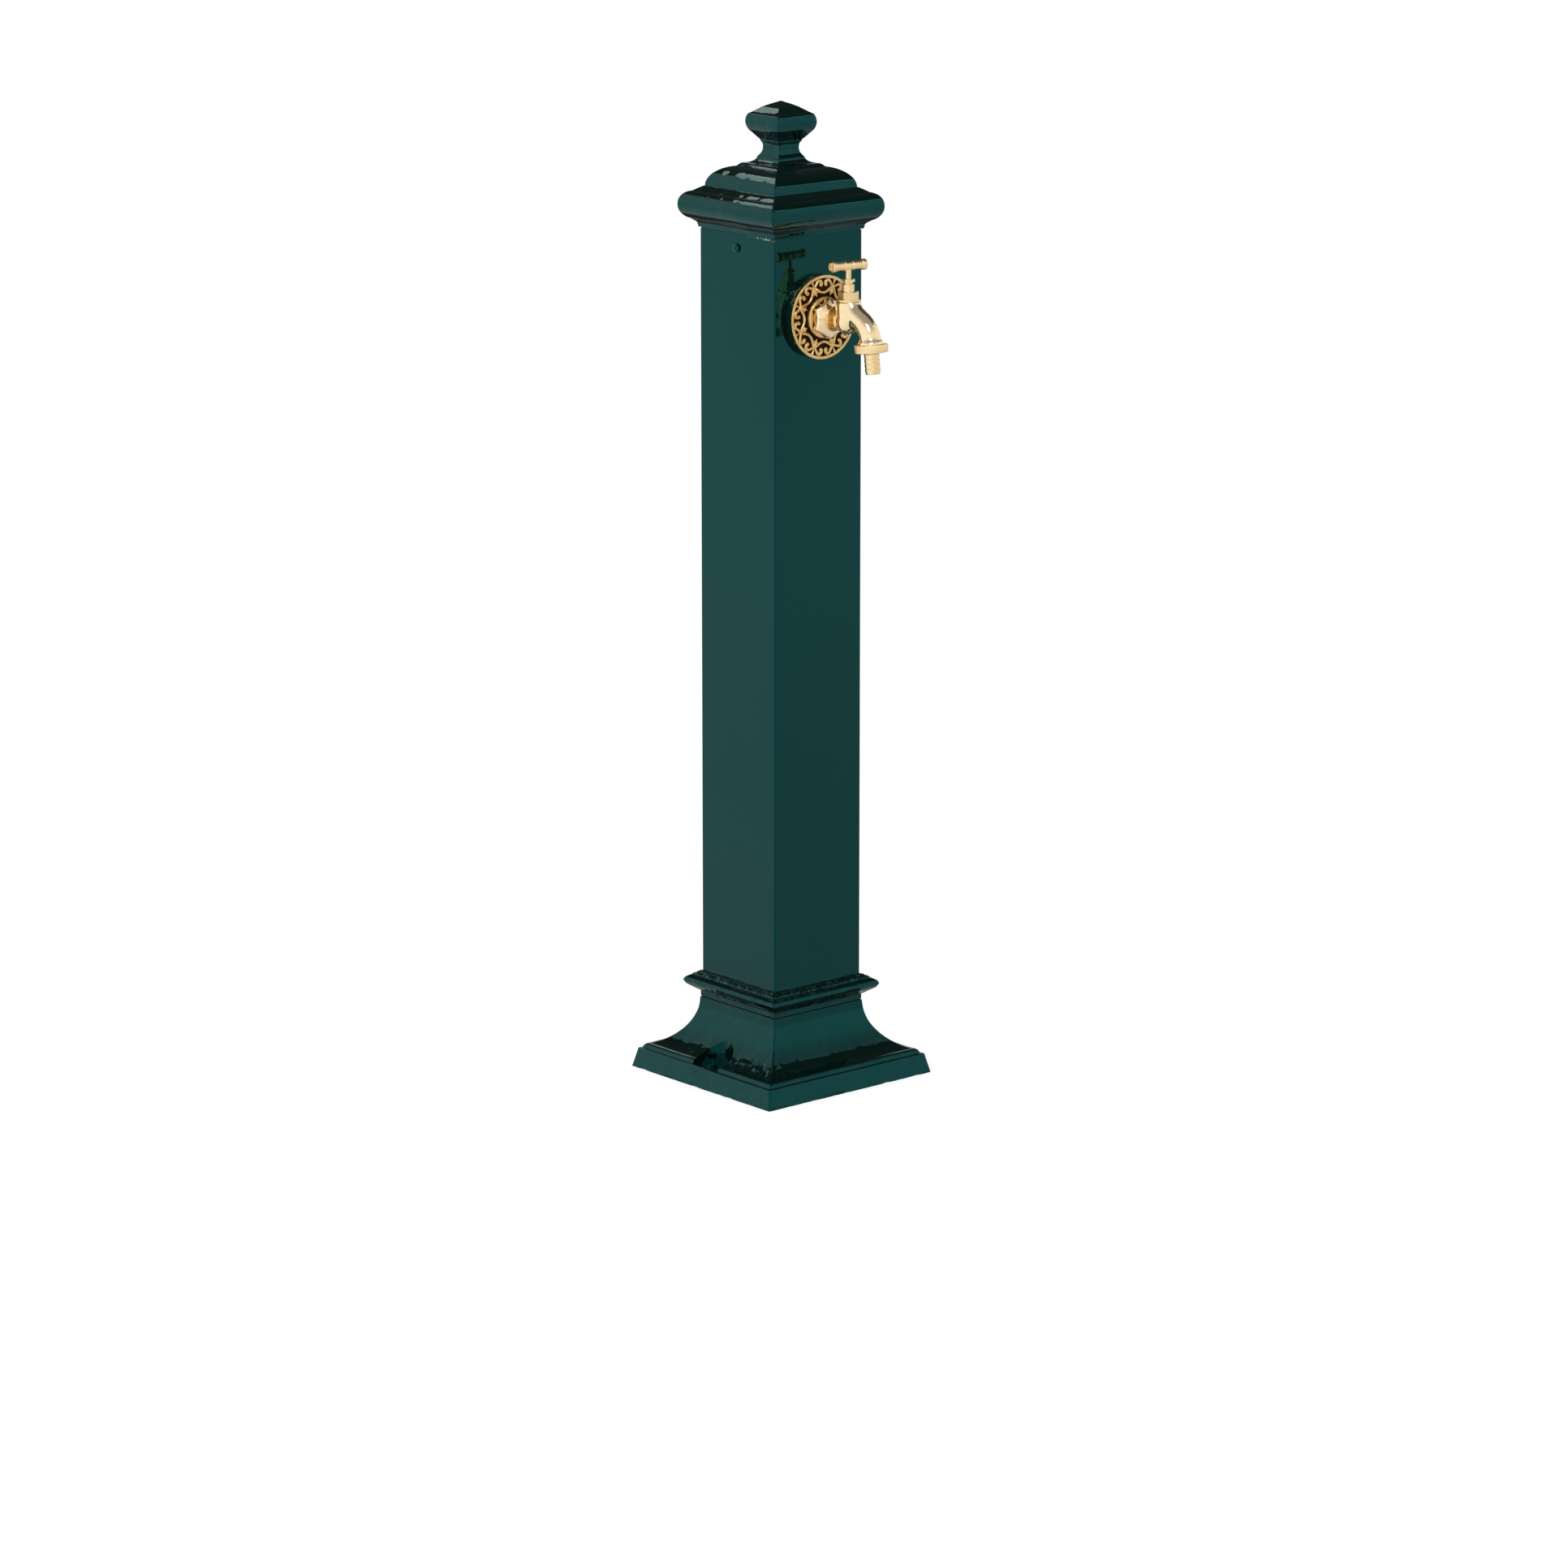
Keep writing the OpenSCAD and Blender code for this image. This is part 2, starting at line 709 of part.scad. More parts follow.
module rosette() {
    ground_y = wall_y - rosette_ground_t;
    relief_y = ground_y - rosette_relief_h;
    hub_top_r = inlet_hex_w / 2 - 1.5;
    color(brass)
    difference() {
        union() {
            y_cylinder(rosette_r, wall_y, ground_y, tap_z);
            y_cylinder(rosette_hub_r, wall_y, relief_y, tap_z);
            translate([0, relief_y, tap_z])
                rotate([90, 0, 0])
                    cylinder(r1 = rosette_hub_r, r2 = hub_top_r, h = rosette_hub_rise);
            translate([0, ground_y + 0.5, tap_z])
                rotate([90, 0, 0])
                    linear_extrude(rosette_relief_h + 0.5) {
                        difference() {
                            circle(rosette_r);
                            circle(rosette_r - rosette_rim_w);
                        }
                        for (i = [0 : scroll_count - 1]) {
                            rotate([0, 0, i * 360 / scroll_count])
                                translate([0, scroll_ring_r])
                                    scroll_shape();
                            rotate([0, 0, (i + 0.5) * 360 / scroll_count])
                                translate([0, scroll_ring_r])
                                    scroll_link();
                        }
                    }
        }
        y_cylinder(tail_r + fit_gap, wall_y + 1, wall_y - hub_t - 1, tap_z);
    }
}

module tap_body() {
    corner_r = inlet_hex_w / sqrt(3);
    color(brass)
    difference() {
        union() {
            y_cylinder(tail_r, tail_end_y, hex_back_y - 1, tap_z);
            intersection() {
                translate([0, hex_back_y, tap_z])
                    rotate([90, 30, 0])
                        hexagon(inlet_hex_w, inlet_hex_t);
                translate([0, hex_back_y, tap_z])
                    rotate([90, 0, 0]) {
                        cylinder(r = corner_r + 0.5, h = inlet_hex_t * 0.55);
                        translate([0, 0, inlet_hex_t * 0.55])
                            cylinder(r1 = corner_r + 0.5, r2 = neck_r + 3, h = inlet_hex_t * 0.45);
                    }
            }
            y_cylinder(neck_r, hex_front_y + 1, barrel_y, tap_z);
            at_barrel() {
                translate([0, 0, tap_z])
                    cylinder(r = barrel_r, h = barrel_h);
                translate([0, 0, tap_z])
                    sphere(barrel_r);
            }
            spout_path(spout_r, 6.8);
            at_outlet() {
                cylinder(r1 = outlet_r, r2 = spout_r - 1, h = 5);
                translate([0, 0, -outlet_end])
                    cylinder(r = outlet_r, h = outlet_end);
            }
        }
        y_cylinder(water_r, tail_end_y + 1, barrel_y + 3, tap_z);
        at_barrel() {
            translate([0, 0, tap_z - 8])
                cylinder(r = lower_chamber_r, h = web_z - tap_z + 8);
            translate([0, 0, web_z - 1])
                cylinder(r = seat_hole_r, h = barrel_top - web_z);
            difference() {
                translate([0, 0, seat_z])
                    cylinder(r = chamber_r, h = barrel_h);
                translate([0, 0, seat_z - 1])
                    cylinder(r = seat_hole_r + 1.4, h = lip_h + 1);
            }
            translate([0, 0, barrel_top - plug_h - 0.3])
                cylinder(r = plug_r + thread_gap, h = plug_h + 1);
        }
        spout_path(spout_bore_r, chamber_r + 2.6);
        at_outlet()
            translate([0, 0, -outlet_end - 1])
                cylinder(r = spout_bore_r + 0.4, h = outlet_end + 1.5);
    }
}

module inner_washer() {
    color(steel)
    difference() {
        y_cylinder(17, wall_y + tube_wall, wall_y + tube_wall + washer_plate_t, tap_z);
        y_cylinder(tail_r + fit_gap, wall_y, wall_y + tube_wall + washer_plate_t + 1, tap_z);
    }
}

module back_nut() {
    y = wall_y + tube_wall + washer_plate_t;
    color(brass)
    difference() {
        translate([0, y + back_nut_t, tap_z])
            rotate([90, 0, 0])
                hexagon(back_nut_w, back_nut_t);
        y_cylinder(tail_r + thread_gap, y - 1, y + back_nut_t + 1, tap_z);
    }
}

module wall_elbow() {
    way_r = 7;
    color(brass)
    difference() {
        union() {
            y_cylinder(elbow_r - 0.5, socket_y, pipe_y, tap_z);
            y_cylinder(elbow_r + 1, socket_y, socket_y + 5, tap_z);
            translate([0, pipe_y, tap_z])
                sphere(elbow_r);
            translate([0, pipe_y, elbow_end_z])
                cylinder(r = elbow_r, h = elbow_leg);
        }
        y_cylinder(tail_r + thread_gap, socket_y - 1, tail_end_y, tap_z);
        y_cylinder(way_r, socket_y, pipe_y, tap_z);
        translate([0, pipe_y, elbow_end_z - 1])
            cylinder(r = pipe_r + slide_gap, h = pipe_insert + 1 + fit_gap);
        translate([0, pipe_y, elbow_end_z])
            cylinder(r = way_r, h = elbow_leg);
    }
}

module elbow_seal() {
    color("#202020")
    translate([0, pipe_y, 0])
        ring(elbow_r - 0.2, pipe_r + slide_gap, elbow_end_z - seal_h, seal_h);
}

module elbow_nut() {
    color(brass)
    translate([0, pipe_y, elbow_nut_z])
        difference() {
            hexagon(elbow_nut_w, elbow_nut_h);
            translate([0, 0, -1])
                cylinder(r = pipe_r + fit_gap, h = elbow_nut_h);
            translate([0, 0, elbow_end_z - seal_h - elbow_nut_z])
                cylinder(r = elbow_r + thread_gap, h = elbow_nut_h);
        }
}

module supply_pipe() {
    color(steel)
    translate([0, pipe_y, 0])
        ring(pipe_r, pipe_r - pipe_wall, 0, pipe_top);
}

module bonnet_seal() {
    color("#6b3a2a")
    at_barrel()
        ring(bonnet_flange_r - 0.6, plug_r + 0.2, barrel_top, bonnet_seal_t);
}

module bonnet() {
    color(brass)
    at_barrel()
        difference() {
            union() {
                translate([0, 0, barrel_top - plug_h])
                    cylinder(r = plug_r, h = plug_h + bonnet_seal_t + 0.5);
                translate([0, 0, flange_z])
                    cylinder(r = bonnet_flange_r, h = bonnet_flange_t);
                translate([0, 0, bonnet_hex_z])
                    rotate([0, 0, 23])
                        hexagon(bonnet_hex_w, bonnet_hex_h);
                translate([0, 0, bonnet_top_z])
                    cylinder(r = bonnet_top_r, h = bonnet_top_h);
            }
            translate([0, 0, barrel_top - plug_h - 1])
                cylinder(r = plug_r - 2, h = bonnet_room_z - barrel_top + plug_h + 1);
            translate([0, 0, barrel_top])
                cylinder(r = screw_r + slide_gap, h = bonnet_top_z - barrel_top - 0.2);
            translate([0, 0, barrel_top])
                cylinder(r = spindle_r + slide_gap, h = 40);
            translate([0, 0, packing_z])
                cylinder(r = packing_r, h = 40);
        }
}

module gland_packing() {
    color("#d8d2c4")
    at_barrel()
        ring(packing_r, spindle_r + slide_gap, packing_z, packing_h);
}

module gland_nut() {
    plug_z = packing_z + packing_h;
    color(brass)
    at_barrel()
        difference() {
            union() {
                translate([0, 0, plug_z])
                    cylinder(r = packing_r - thread_gap, h = gland_z - plug_z + 1);
                translate([0, 0, gland_z])
                    intersection() {
                        rotate([0, 0, 23])
                            hexagon(2 * gland_head_r, gland_h);
                        cylinder(r = gland_head_r + 0.5, h = gland_h);
                    }
            }
            translate([0, 0, plug_z - 1])
                cylinder(r = spindle_r + slide_gap, h = gland_z + gland_h);
        }
}

module jumper_valve() {
    color(brass)
    at_barrel() {
        translate([0, 0, plate_z])
            cylinder(r = washer_r + 0.3, h = plate_t);
        translate([0, 0, plate_z])
            cylinder(r = stem_r, h = plate_t + 7);
        translate([0, 0, washer_z - 2.5])
            cylinder(r = 1.25, h = washer_t + 3);
    }
}

module tap_washer() {
    color("#1c1c1c")
    at_barrel()
        ring(washer_r, 1.4, washer_z, washer_t);
}

module washer_nut() {
    color(brass)
    at_barrel()
        difference() {
            translate([0, 0, washer_z - 2])
                hexagon(5, 2);
            translate([0, 0, washer_z - 3])
                cylinder(r = 1.25 + thread_gap, h = 4);
        }
}

module spindle() {
    color(brass)
    at_barrel()
        difference() {
            union() {
                translate([0, 0, spindle_z])
                    cylinder(r = screw_r, h = screw_h);
                translate([0, 0, spindle_z])
                    cylinder(r = spindle_r, h = handle_z - spindle_z);
            }
            translate([0, 0, spindle_z - 1])
                cylinder(r = stem_r + slide_gap, h = 8.5);
        }
}

module t_handle() {
    half = handle_len / 2;
    knob_l = 5.2;
    collar_x = 4.5;
    collar_l = 1.8;
    color(brass)
    at_barrel()
        translate([0, 0, handle_z])
            rotate([0, 90, handle_turn])
                difference() {
                    union() {
                        translate([0, 0, -half + 1])
                            cylinder(r = handle_arm_r, h = handle_len - 2);
                        for (side = [-1, 1]) {
                            translate([0, 0, side * (half - knob_l / 2)])
                                cylinder(r = handle_knob_r, h = knob_l, center = true);
                            translate([0, 0, side * collar_x])
                                cylinder(r = handle_arm_r + 0.7, h = collar_l, center = true);
                        }
                    }
                    rotate([0, -90, 0])
                        translate([0, 0, -handle_arm_r - 2])
                            cylinder(r = spindle_r + thread_gap, h = handle_arm_r + 2);
                    for (side = [-1, 1])
                        translate([0, 0, side * half])
                            cylinder(r = handle_knob_r - 1.6, h = 1.6, center = true);
                }
}

module hose_washer() {
    color("#1c1c1c")
    at_outlet()
        ring(outlet_r - 0.4, hose_bore_r + 0.5, -tail_flange_top, hose_washer_t);
}

module hose_tail() {
    core_r = barb_r - barb_depth;
    barbs_top = -nut_bottom - tail_neck;
    barb_points = [for (i = [0 : barb_count - 1])
        each [[barb_r, barbs_top - i * barb_pitch],
            [barb_r, barbs_top - (i + 0.25) * barb_pitch],
            [core_r, barbs_top - (i + 1) * barb_pitch]]];
    outline = concat([[hose_bore_r, -tail_flange_top], [outlet_r - 0.3, -tail_flange_top],
        [outlet_r - 0.3, -tail_flange_bottom], [core_r, -tail_flange_bottom], [core_r, barbs_top]],
        barb_points, [[core_r, -tail_end], [hose_bore_r, -tail_end]]);
    color(brass)
    at_outlet()
        rotate_extrude()
            polygon(outline);
}

module hose_nut() {
    color(brass)
    at_outlet()
        translate([0, 0, -nut_bottom])
            difference() {
                union() {
                    cylinder(r1 = nut_r - 0.5, r2 = nut_r, h = 0.5);
                    translate([0, 0, 0.5])
                        cylinder(r = nut_r, h = nut_h - 1);
                    translate([0, 0, nut_h - 0.5])
                        cylinder(r1 = nut_r, r2 = nut_r - 0.5, h = 0.5);
                }
                translate([0, 0, nut_lip])
                    cylinder(r = outlet_r + turn_gap, h = nut_h);
                translate([0, 0, -1])
                    cylinder(r = barb_r + fit_gap, h = nut_h);
            }
}

supply_pipe();
base_foot();
base_collar();
collar_bead();
column_tube();
tube_screws();
pipe_guide();
guide_screws();
cap_casting();
cap_screws();
cap_finial();
finial_stud();
finial_nut();
rosette();
tap_body();
inner_washer();
back_nut();
wall_elbow();
elbow_seal();
elbow_nut();
bonnet_seal();
bonnet();
gland_packing();
gland_nut();
jumper_valve();
tap_washer();
washer_nut();
spindle();
t_handle();
hose_washer();
hose_tail();
hose_nut();
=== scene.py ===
import itertools
import json
import math
import bpy
import numpy as np
from mathutils import Matrix, Vector, noise


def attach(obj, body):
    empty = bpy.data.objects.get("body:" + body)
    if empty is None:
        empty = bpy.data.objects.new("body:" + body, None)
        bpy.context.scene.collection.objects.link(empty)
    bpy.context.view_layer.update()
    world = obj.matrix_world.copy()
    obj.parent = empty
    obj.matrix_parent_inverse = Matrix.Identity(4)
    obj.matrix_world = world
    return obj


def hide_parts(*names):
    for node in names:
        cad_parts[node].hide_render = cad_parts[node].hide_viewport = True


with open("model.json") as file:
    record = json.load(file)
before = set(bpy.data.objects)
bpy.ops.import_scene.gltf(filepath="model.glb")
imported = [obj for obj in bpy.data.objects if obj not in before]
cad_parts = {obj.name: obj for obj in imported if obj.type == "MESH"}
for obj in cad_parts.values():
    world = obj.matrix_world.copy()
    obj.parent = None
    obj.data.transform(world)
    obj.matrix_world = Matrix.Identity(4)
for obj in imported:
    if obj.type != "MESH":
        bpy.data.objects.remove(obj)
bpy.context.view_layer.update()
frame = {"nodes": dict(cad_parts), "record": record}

MM = 0.001
TAU = 2 * math.pi

# Heights and half widths of the standpipe, in millimetres
TUBE_HALF = 55
FOOT_TOP = 73
TUBE_TOP = 837
CROWN_TOP = 906.2
TAP_Z = 759
WALL_Y = -TUBE_HALF
BARREL_Y = -98
OUTLET = (0, -130.3318, 742.918)
OUTLET_LEAN = math.radians(-7)
HANDLE_Z = 812.5
HANDLE_TURN = math.radians(-7)
SCREW_Z = 823.5
SCREW_HOLE_R = 2.55
STUD_HOLE_R = 4.05

# Half widths, outside and inside, of the foot's spigot and the cap's skirt
SPIGOT_OUT, SPIGOT_IN = 52.7, 46.7

# The rosette: thickness of its ground, height of its relief, and radii of its rim and bore
GROUND_T, RELIEF_H, HUB_RISE = 5, 3.5, 2.5
RIM_IN, RIM_OUT = 37.3, 40.5
ROSETTE_BORE_R = 10.78
MOTIFS = 8


# Camera, left of the front and a little above, as measured from the photo

VIEW_TURN = math.radians(-40.62528876)
VIEW_RISE = math.radians(13.56204607)
VIEW_FAR = 5.761597864
VIEW_CENTRE = Vector((0, 0, 0.2900972))
VIEW_SHIFT = 0.00296
back = Vector((math.sin(VIEW_TURN) * math.cos(VIEW_RISE),
               -math.cos(VIEW_TURN) * math.cos(VIEW_RISE),
               math.sin(VIEW_RISE)))
right = Vector((math.cos(VIEW_TURN), math.sin(VIEW_TURN), 0))
camera_data = bpy.data.cameras.new("camera")
camera_data.lens = 135.12
camera_data.sensor_width = 36
camera = bpy.data.objects.new("camera", camera_data)
camera.location = VIEW_CENTRE + right * VIEW_SHIFT + back * VIEW_FAR
camera.rotation_euler = back.to_track_quat("Z", "Y").to_euler()
bpy.context.scene.collection.objects.link(camera)
bpy.context.scene.camera = camera
bpy.context.scene.view_settings.view_transform = "Standard"


# Nodes and colours

NOISE, SPLIT = "ShaderNodeTexNoise", "ShaderNodeSeparateXYZ"
EASED = ("ShaderNodeMapRange", "interpolation_type", "SMOOTHSTEP")
BLEND = ("ShaderNodeMix", "data_type", "RGBA")
TIMES, PLUS, MINUS, OVER, LARGER, ROOT, ABSOLUTE = [
    ("ShaderNodeMath", "operation", name)
    for name in ("MULTIPLY", "ADD", "SUBTRACT", "DIVIDE", "MAXIMUM", "SQRT", "ABSOLUTE")]
ALONG, LENGTH, DISTANCE = [("ShaderNodeVectorMath", "operation", name)
                           for name in ("DOT_PRODUCT", "LENGTH", "DISTANCE")]


def linear(code):
    """Linear colour of an sRGB hex value"""
    parts = [int(code[i:i + 2], 16) / 255 for i in (1, 3, 5)]
    return tuple(p / 12.92 if p <= 0.04045 else ((p + 0.055) / 1.055) ** 2.4 for p in parts) + (1,)


def connect(tree, node, inputs):
    """Gives each input its value, or a link from a socket or from a node's first output in use"""
    for key, value in inputs.items():
        if isinstance(value, bpy.types.Node):
            value = [socket for socket in value.outputs if socket.enabled][0]
        if isinstance(value, bpy.types.NodeSocket):
            tree.links.new(value, node.inputs[key])
        else:
            node.inputs[key].default_value = value


def add(tree, kind, inputs=()):
    """Adds a node of a kind, which may hold one setting. Its inputs come by name or in order"""
    kind, *setting = [kind] if isinstance(kind, str) else kind
    node = tree.nodes.new(kind)
    if setting:
        setattr(node, *setting)
    if not isinstance(inputs, dict):
        used = [i for i, socket in enumerate(node.inputs) if socket.enabled]
        inputs = dict(zip(used, inputs))
    connect(tree, node, inputs)
    return node


def empty_tree(owner):
    """Node tree of a material or a world, emptied"""
    owner.use_nodes = True
    owner.node_tree.nodes.clear()
    return owner.node_tree


def start_material(name):
    """New material with its tree, shader and object coordinates"""
    material = bpy.data.materials.new(name)
    tree = empty_tree(material)
    shader = add(tree, "ShaderNodeBsdfPrincipled")
    add(tree, "ShaderNodeOutputMaterial", {"Surface": shader})
    place = add(tree, "ShaderNodeTexCoord").outputs["Object"]
    return material, tree, shader, place


def grain(place, period_mm, detail=2):
    """Noise inputs whose features are about period_mm across"""
    return {"Vector": place, "Scale": 1 / (period_mm * MM), "Detail": detail}


def bump(tree, layers):
    """Normal from layers of (height node, depth in mm)"""
    normal = None
    for height, depth_mm in layers:
        inputs = {"Height": height, "Distance": depth_mm * MM}
        if normal:
            inputs["Normal"] = normal
        normal = add(tree, "ShaderNodeBump", inputs)
    return normal


# Materials

# The tint of what the paint mirrors
PAINT_TINT = "#30F6F6"


def gloss_paint(name, waves, specks, chips=None, roughness=0.035):
    """Deep green gloss enamel, brushed on and levelled: mirror-like, with the metal's waves under it"""
    material, tree, shader, place = start_material(name)
    cloud = add(tree, NOISE, grain(place, 60, 3))
    colour = add(tree, BLEND, (cloud, linear("#020E0A"), linear("#04140F")))
    layers = [(add(tree, NOISE, grain(place, period, 1)), depth) for period, depth in waves]
    # Dust that settled in the wet paint
    speck = add(tree, NOISE, grain(place, 1.6))
    layers.append((add(tree, EASED, (speck, 0.70, 0.78)), specks))
    haze = add(tree, NOISE, grain(place, 25))
    rough = add(tree, EASED, (haze, 0.3, 0.7, roughness * 0.6, roughness * 1.4))
    if chips:
        chip = chips(tree, place)
        colour = add(tree, BLEND, (chip, colour, linear("#C9CDC6")))
        rough = add(tree, LARGER, (rough, add(tree, TIMES, (chip, 0.6))))
        layers.append((chip, -0.12))
    connect(tree, shader, {"Base Color": colour, "Roughness": rough, "Normal": bump(tree, layers),
                           "IOR": 1.5, "Specular IOR Level": 0.62, "Specular Tint": linear(PAINT_TINT)})
    return material


def seam_chips(tree, place):
    """Paint chipped down to the pale primer in a few spots along the tube's top edge"""
    x, y, z = add(tree, SPLIT, (place,)).outputs
    near_top = add(tree, EASED, (z, (TUBE_TOP - 2.2) * MM, (TUBE_TOP - 0.5) * MM))
    at_corner = add(tree, EASED, (y, -12 * MM, -44 * MM))
    on_left = add(tree, EASED, (x, (1.5 - TUBE_HALF) * MM, (0.1 - TUBE_HALF) * MM))
    spots = add(tree, EASED, (add(tree, NOISE, grain(place, 2.6, 3)), 0.50, 0.55))
    edge_spots = add(tree, TIMES, (near_top, spots))
    corner_part = add(tree, TIMES, (at_corner, on_left))
    return add(tree, TIMES, (edge_spots, corner_part))


def brass(name, light, dark, roughness, scratch=0.01, waves=0.0, patina=None, unpolished=None):
    """Brass: warm metal whose reflections take the colour, with a thin film of tarnish"""
    material, tree, shader, place = start_material(name)
    cloud = add(tree, NOISE, grain(place, 14, 3))
    colour = add(tree, BLEND, (cloud, linear(light), linear(dark)))
    haze = add(tree, NOISE, grain(place, 9, 3))
    rough = add(tree, EASED, (haze, 0.25, 0.75, roughness * 0.75, roughness * 1.35))
    if patina:
        spots = add(tree, EASED, (add(tree, NOISE, grain(place, 7, 4)), 0.68, 0.82))
        colour = add(tree, BLEND, (spots, colour, linear(patina)))
        rough = add(tree, PLUS, (rough, add(tree, TIMES, (spots, 0.14))))
    if unpolished:
        y = add(tree, SPLIT, (place,)).outputs[1]
        front, behind = unpolished
        after = add(tree, EASED, (y, front * MM, (front + 2) * MM))
        before = add(tree, EASED, (y, behind * MM, (behind - 1) * MM))
        area = add(tree, TIMES, (after, before))
        colour = add(tree, BLEND, (area, colour, linear("#F0BE78")))
        rough = add(tree, PLUS, (rough, add(tree, TIMES, (area, 0.26))))
    # Marks of polishing and turning are finer, and are drawn half a millimetre wide so that they show
    layers = [(add(tree, NOISE, grain(place, 0.5)), scratch)]
    if waves:
        layers.append((add(tree, NOISE, grain(place, 6, 1)), waves))
    connect(tree, shader, {"Base Color": colour, "Metallic": 1, "Roughness": rough,
                           "Normal": bump(tree, layers)})
    return material


def rosette_brass():
    """Cast brass: rubbed bright on the relief, brown lacquer in the recess, dark paint on the edge"""
    material, tree, shader, place = start_material("cast brass, rubbed relief and dark recess")
    x, y, z = add(tree, SPLIT, (place,)).outputs
    ground = WALL_Y - GROUND_T
    uneven = add(tree, TIMES, (add(tree, NOISE, grain(place, 2.5, 3)), 1.4 * MM))
    depth = add(tree, PLUS, (y, uneven))
    raised = add(tree, EASED, (depth, (ground - 0.2) * MM, (ground - 1.7) * MM))
    blotch = add(tree, NOISE, grain(place, 6, 3))
    recess = add(tree, BLEND, (blotch, linear("#4A3720"), linear("#140E08")))
    relief = add(tree, BLEND, (blotch, linear("#F0D49C"), linear("#CBA360")))
    rise = add(tree, MINUS, (z, TAP_Z * MM))
    squares = [add(tree, TIMES, (side, side)) for side in (rise, x)]
    reach = add(tree, ROOT, (add(tree, PLUS, squares),))
    at_edge = add(tree, EASED, (reach, (RIM_OUT - 0.6) * MM, (RIM_OUT - 0.2) * MM))
    behind_rim = add(tree, EASED, (y, (ground - 3.1) * MM, (ground - 2.4) * MM))
    edge = add(tree, TIMES, (at_edge, behind_rim))
    raised = add(tree, LARGER, (raised, edge))
    colour = add(tree, BLEND, (raised, recess, relief))
    kept = add(tree, EASED, (add(tree, NOISE, grain(place, 7, 3)), 0.66, 0.60))
    painted = add(tree, TIMES, (edge, kept))
    colour = add(tree, BLEND, (painted, colour, linear("#0D1F16")))
    metal = add(tree, MINUS, (1, painted))
    rubbed = add(tree, EASED, (raised, 0, 1, 0.5, 0.26))
    haze = add(tree, TIMES, (add(tree, NOISE, grain(place, 3)), 0.08))
    rough = add(tree, PLUS, (rubbed, haze))
    rough = add(tree, TIMES, (rough, add(tree, EASED, (painted, 0, 1, 1, 0.3))))
    normal = bump(tree, [(add(tree, NOISE, grain(place, 1.2, 3)), 0.12),
                         (add(tree, NOISE, grain(place, 4)), 0.15)])
    connect(tree, shader, {"Base Color": colour, "Metallic": metal, "Roughness": rough, "Normal": normal})
    return material


def plain_metal(name, light, dark, roughness, period):
    """Zinc or galvanised steel: grey, dull, with the coating's soft spangle"""
    material, tree, shader, place = start_material(name)
    spangle = add(tree, "ShaderNodeTexVoronoi", {"Vector": place, "Scale": 1 / (period * MM)})
    tone = add(tree, "ShaderNodeSeparateColor", {"Color": spangle.outputs["Color"]})
    colour = add(tree, BLEND, (tone, linear(light), linear(dark)))
    haze = add(tree, NOISE, grain(place, 3, 3))
    rough = add(tree, EASED, (haze, 0.2, 0.8, roughness * 0.8, roughness * 1.2))
    connect(tree, shader, {"Base Color": colour, "Metallic": 1, "Roughness": rough,
                           "Normal": bump(tree, [(add(tree, NOISE, grain(place, 0.8)), 0.02)])})
    return material


def plain_soft(name, light, dark, roughness, period):
    """Rubber, fibre or packing: dull, finely mottled"""
    material, tree, shader, place = start_material(name)
    fleck = add(tree, NOISE, grain(place, period, 4))
    colour = add(tree, BLEND, (fleck, linear(light), linear(dark)))
    connect(tree, shader, {"Base Color": colour, "Roughness": roughness,
                           "Normal": bump(tree, [(fleck, 0.05)])})
    return material


# Waves under the paint, each with its width and depth in millimetres
CAST_WAVES = ((22, 0.08), (7, 0.018))
FINISHES = {
    "enamelled_iron": gloss_paint("gloss enamel on cast iron", CAST_WAVES, 0.03),
    "enamelled_steel": gloss_paint("gloss enamel on steel tube", ((90, 0.10), (12, 0.004)), 0.01,
                                   chips=seam_chips),
    "painted_filler": gloss_paint("gloss enamel over rough filler", ((5, 0.5), (2, 0.25)), 0.15,
                                  roughness=0.12),
    "painted_screws": gloss_paint("gloss enamel on screws", ((6, 0.05), (2, 0.02)), 0.03),
    "polished_brass": brass("polished cast brass", "#FFE9C2", "#FBDFAF", 0.045, 0.002, 0.02,
                            unpolished=(-89, -77.3)),
    "turned_brass": brass("turned brass, satin", "#FDE4B2", "#F2D29C", 0.25, 0.012, patina="#B79A66"),
    "relief_brass": rosette_brass(),
    "galvanised_steel": plain_metal("galvanised steel pipe", "#B9BCBD", "#9A9FA2", 0.45, 9),
    "zinc_steel": plain_metal("zinc plated steel", "#C4C6C4", "#A9ACAA", 0.32, 1.5),
    "black_rubber": plain_soft("black rubber", "#181818", "#262524", 0.75, 0.8),
    "fibre_seal": plain_soft("red vulcanised fibre", "#6B3A2A", "#54291C", 0.7, 1.2),
    "packing": plain_soft("braided packing", "#D8D2C4", "#B8AF9C", 0.85, 1.0),
}


# Mesh making

def half_width(p):
    """Half width of the square that each point stands on"""
    return np.maximum(abs(p[:, 0]), abs(p[:, 1]))


def smooth(value, low, high):
    """Eased step from 0 at low to 1 at high"""
    t = np.clip((value - low) / (high - low), 0, 1)
    return t * t * (3 - 2 * t)


def new_object(name, points, faces):
    """Object with its place in its mesh, from points in millimetres"""
    mesh = bpy.data.meshes.new(name)
    mesh.from_pydata((np.asarray(points) * MM).tolist(), [], faces)
    mesh.update()
    ob = bpy.data.objects.new(name, mesh)
    bpy.context.scene.collection.objects.link(ob)
    return ob


def give_finish(ob, entry):
    """Makes the finish of an entry in the record the object's only material"""
    ob.data.materials.clear()
    ob.data.materials.append(FINISHES[entry["material_slot"]])


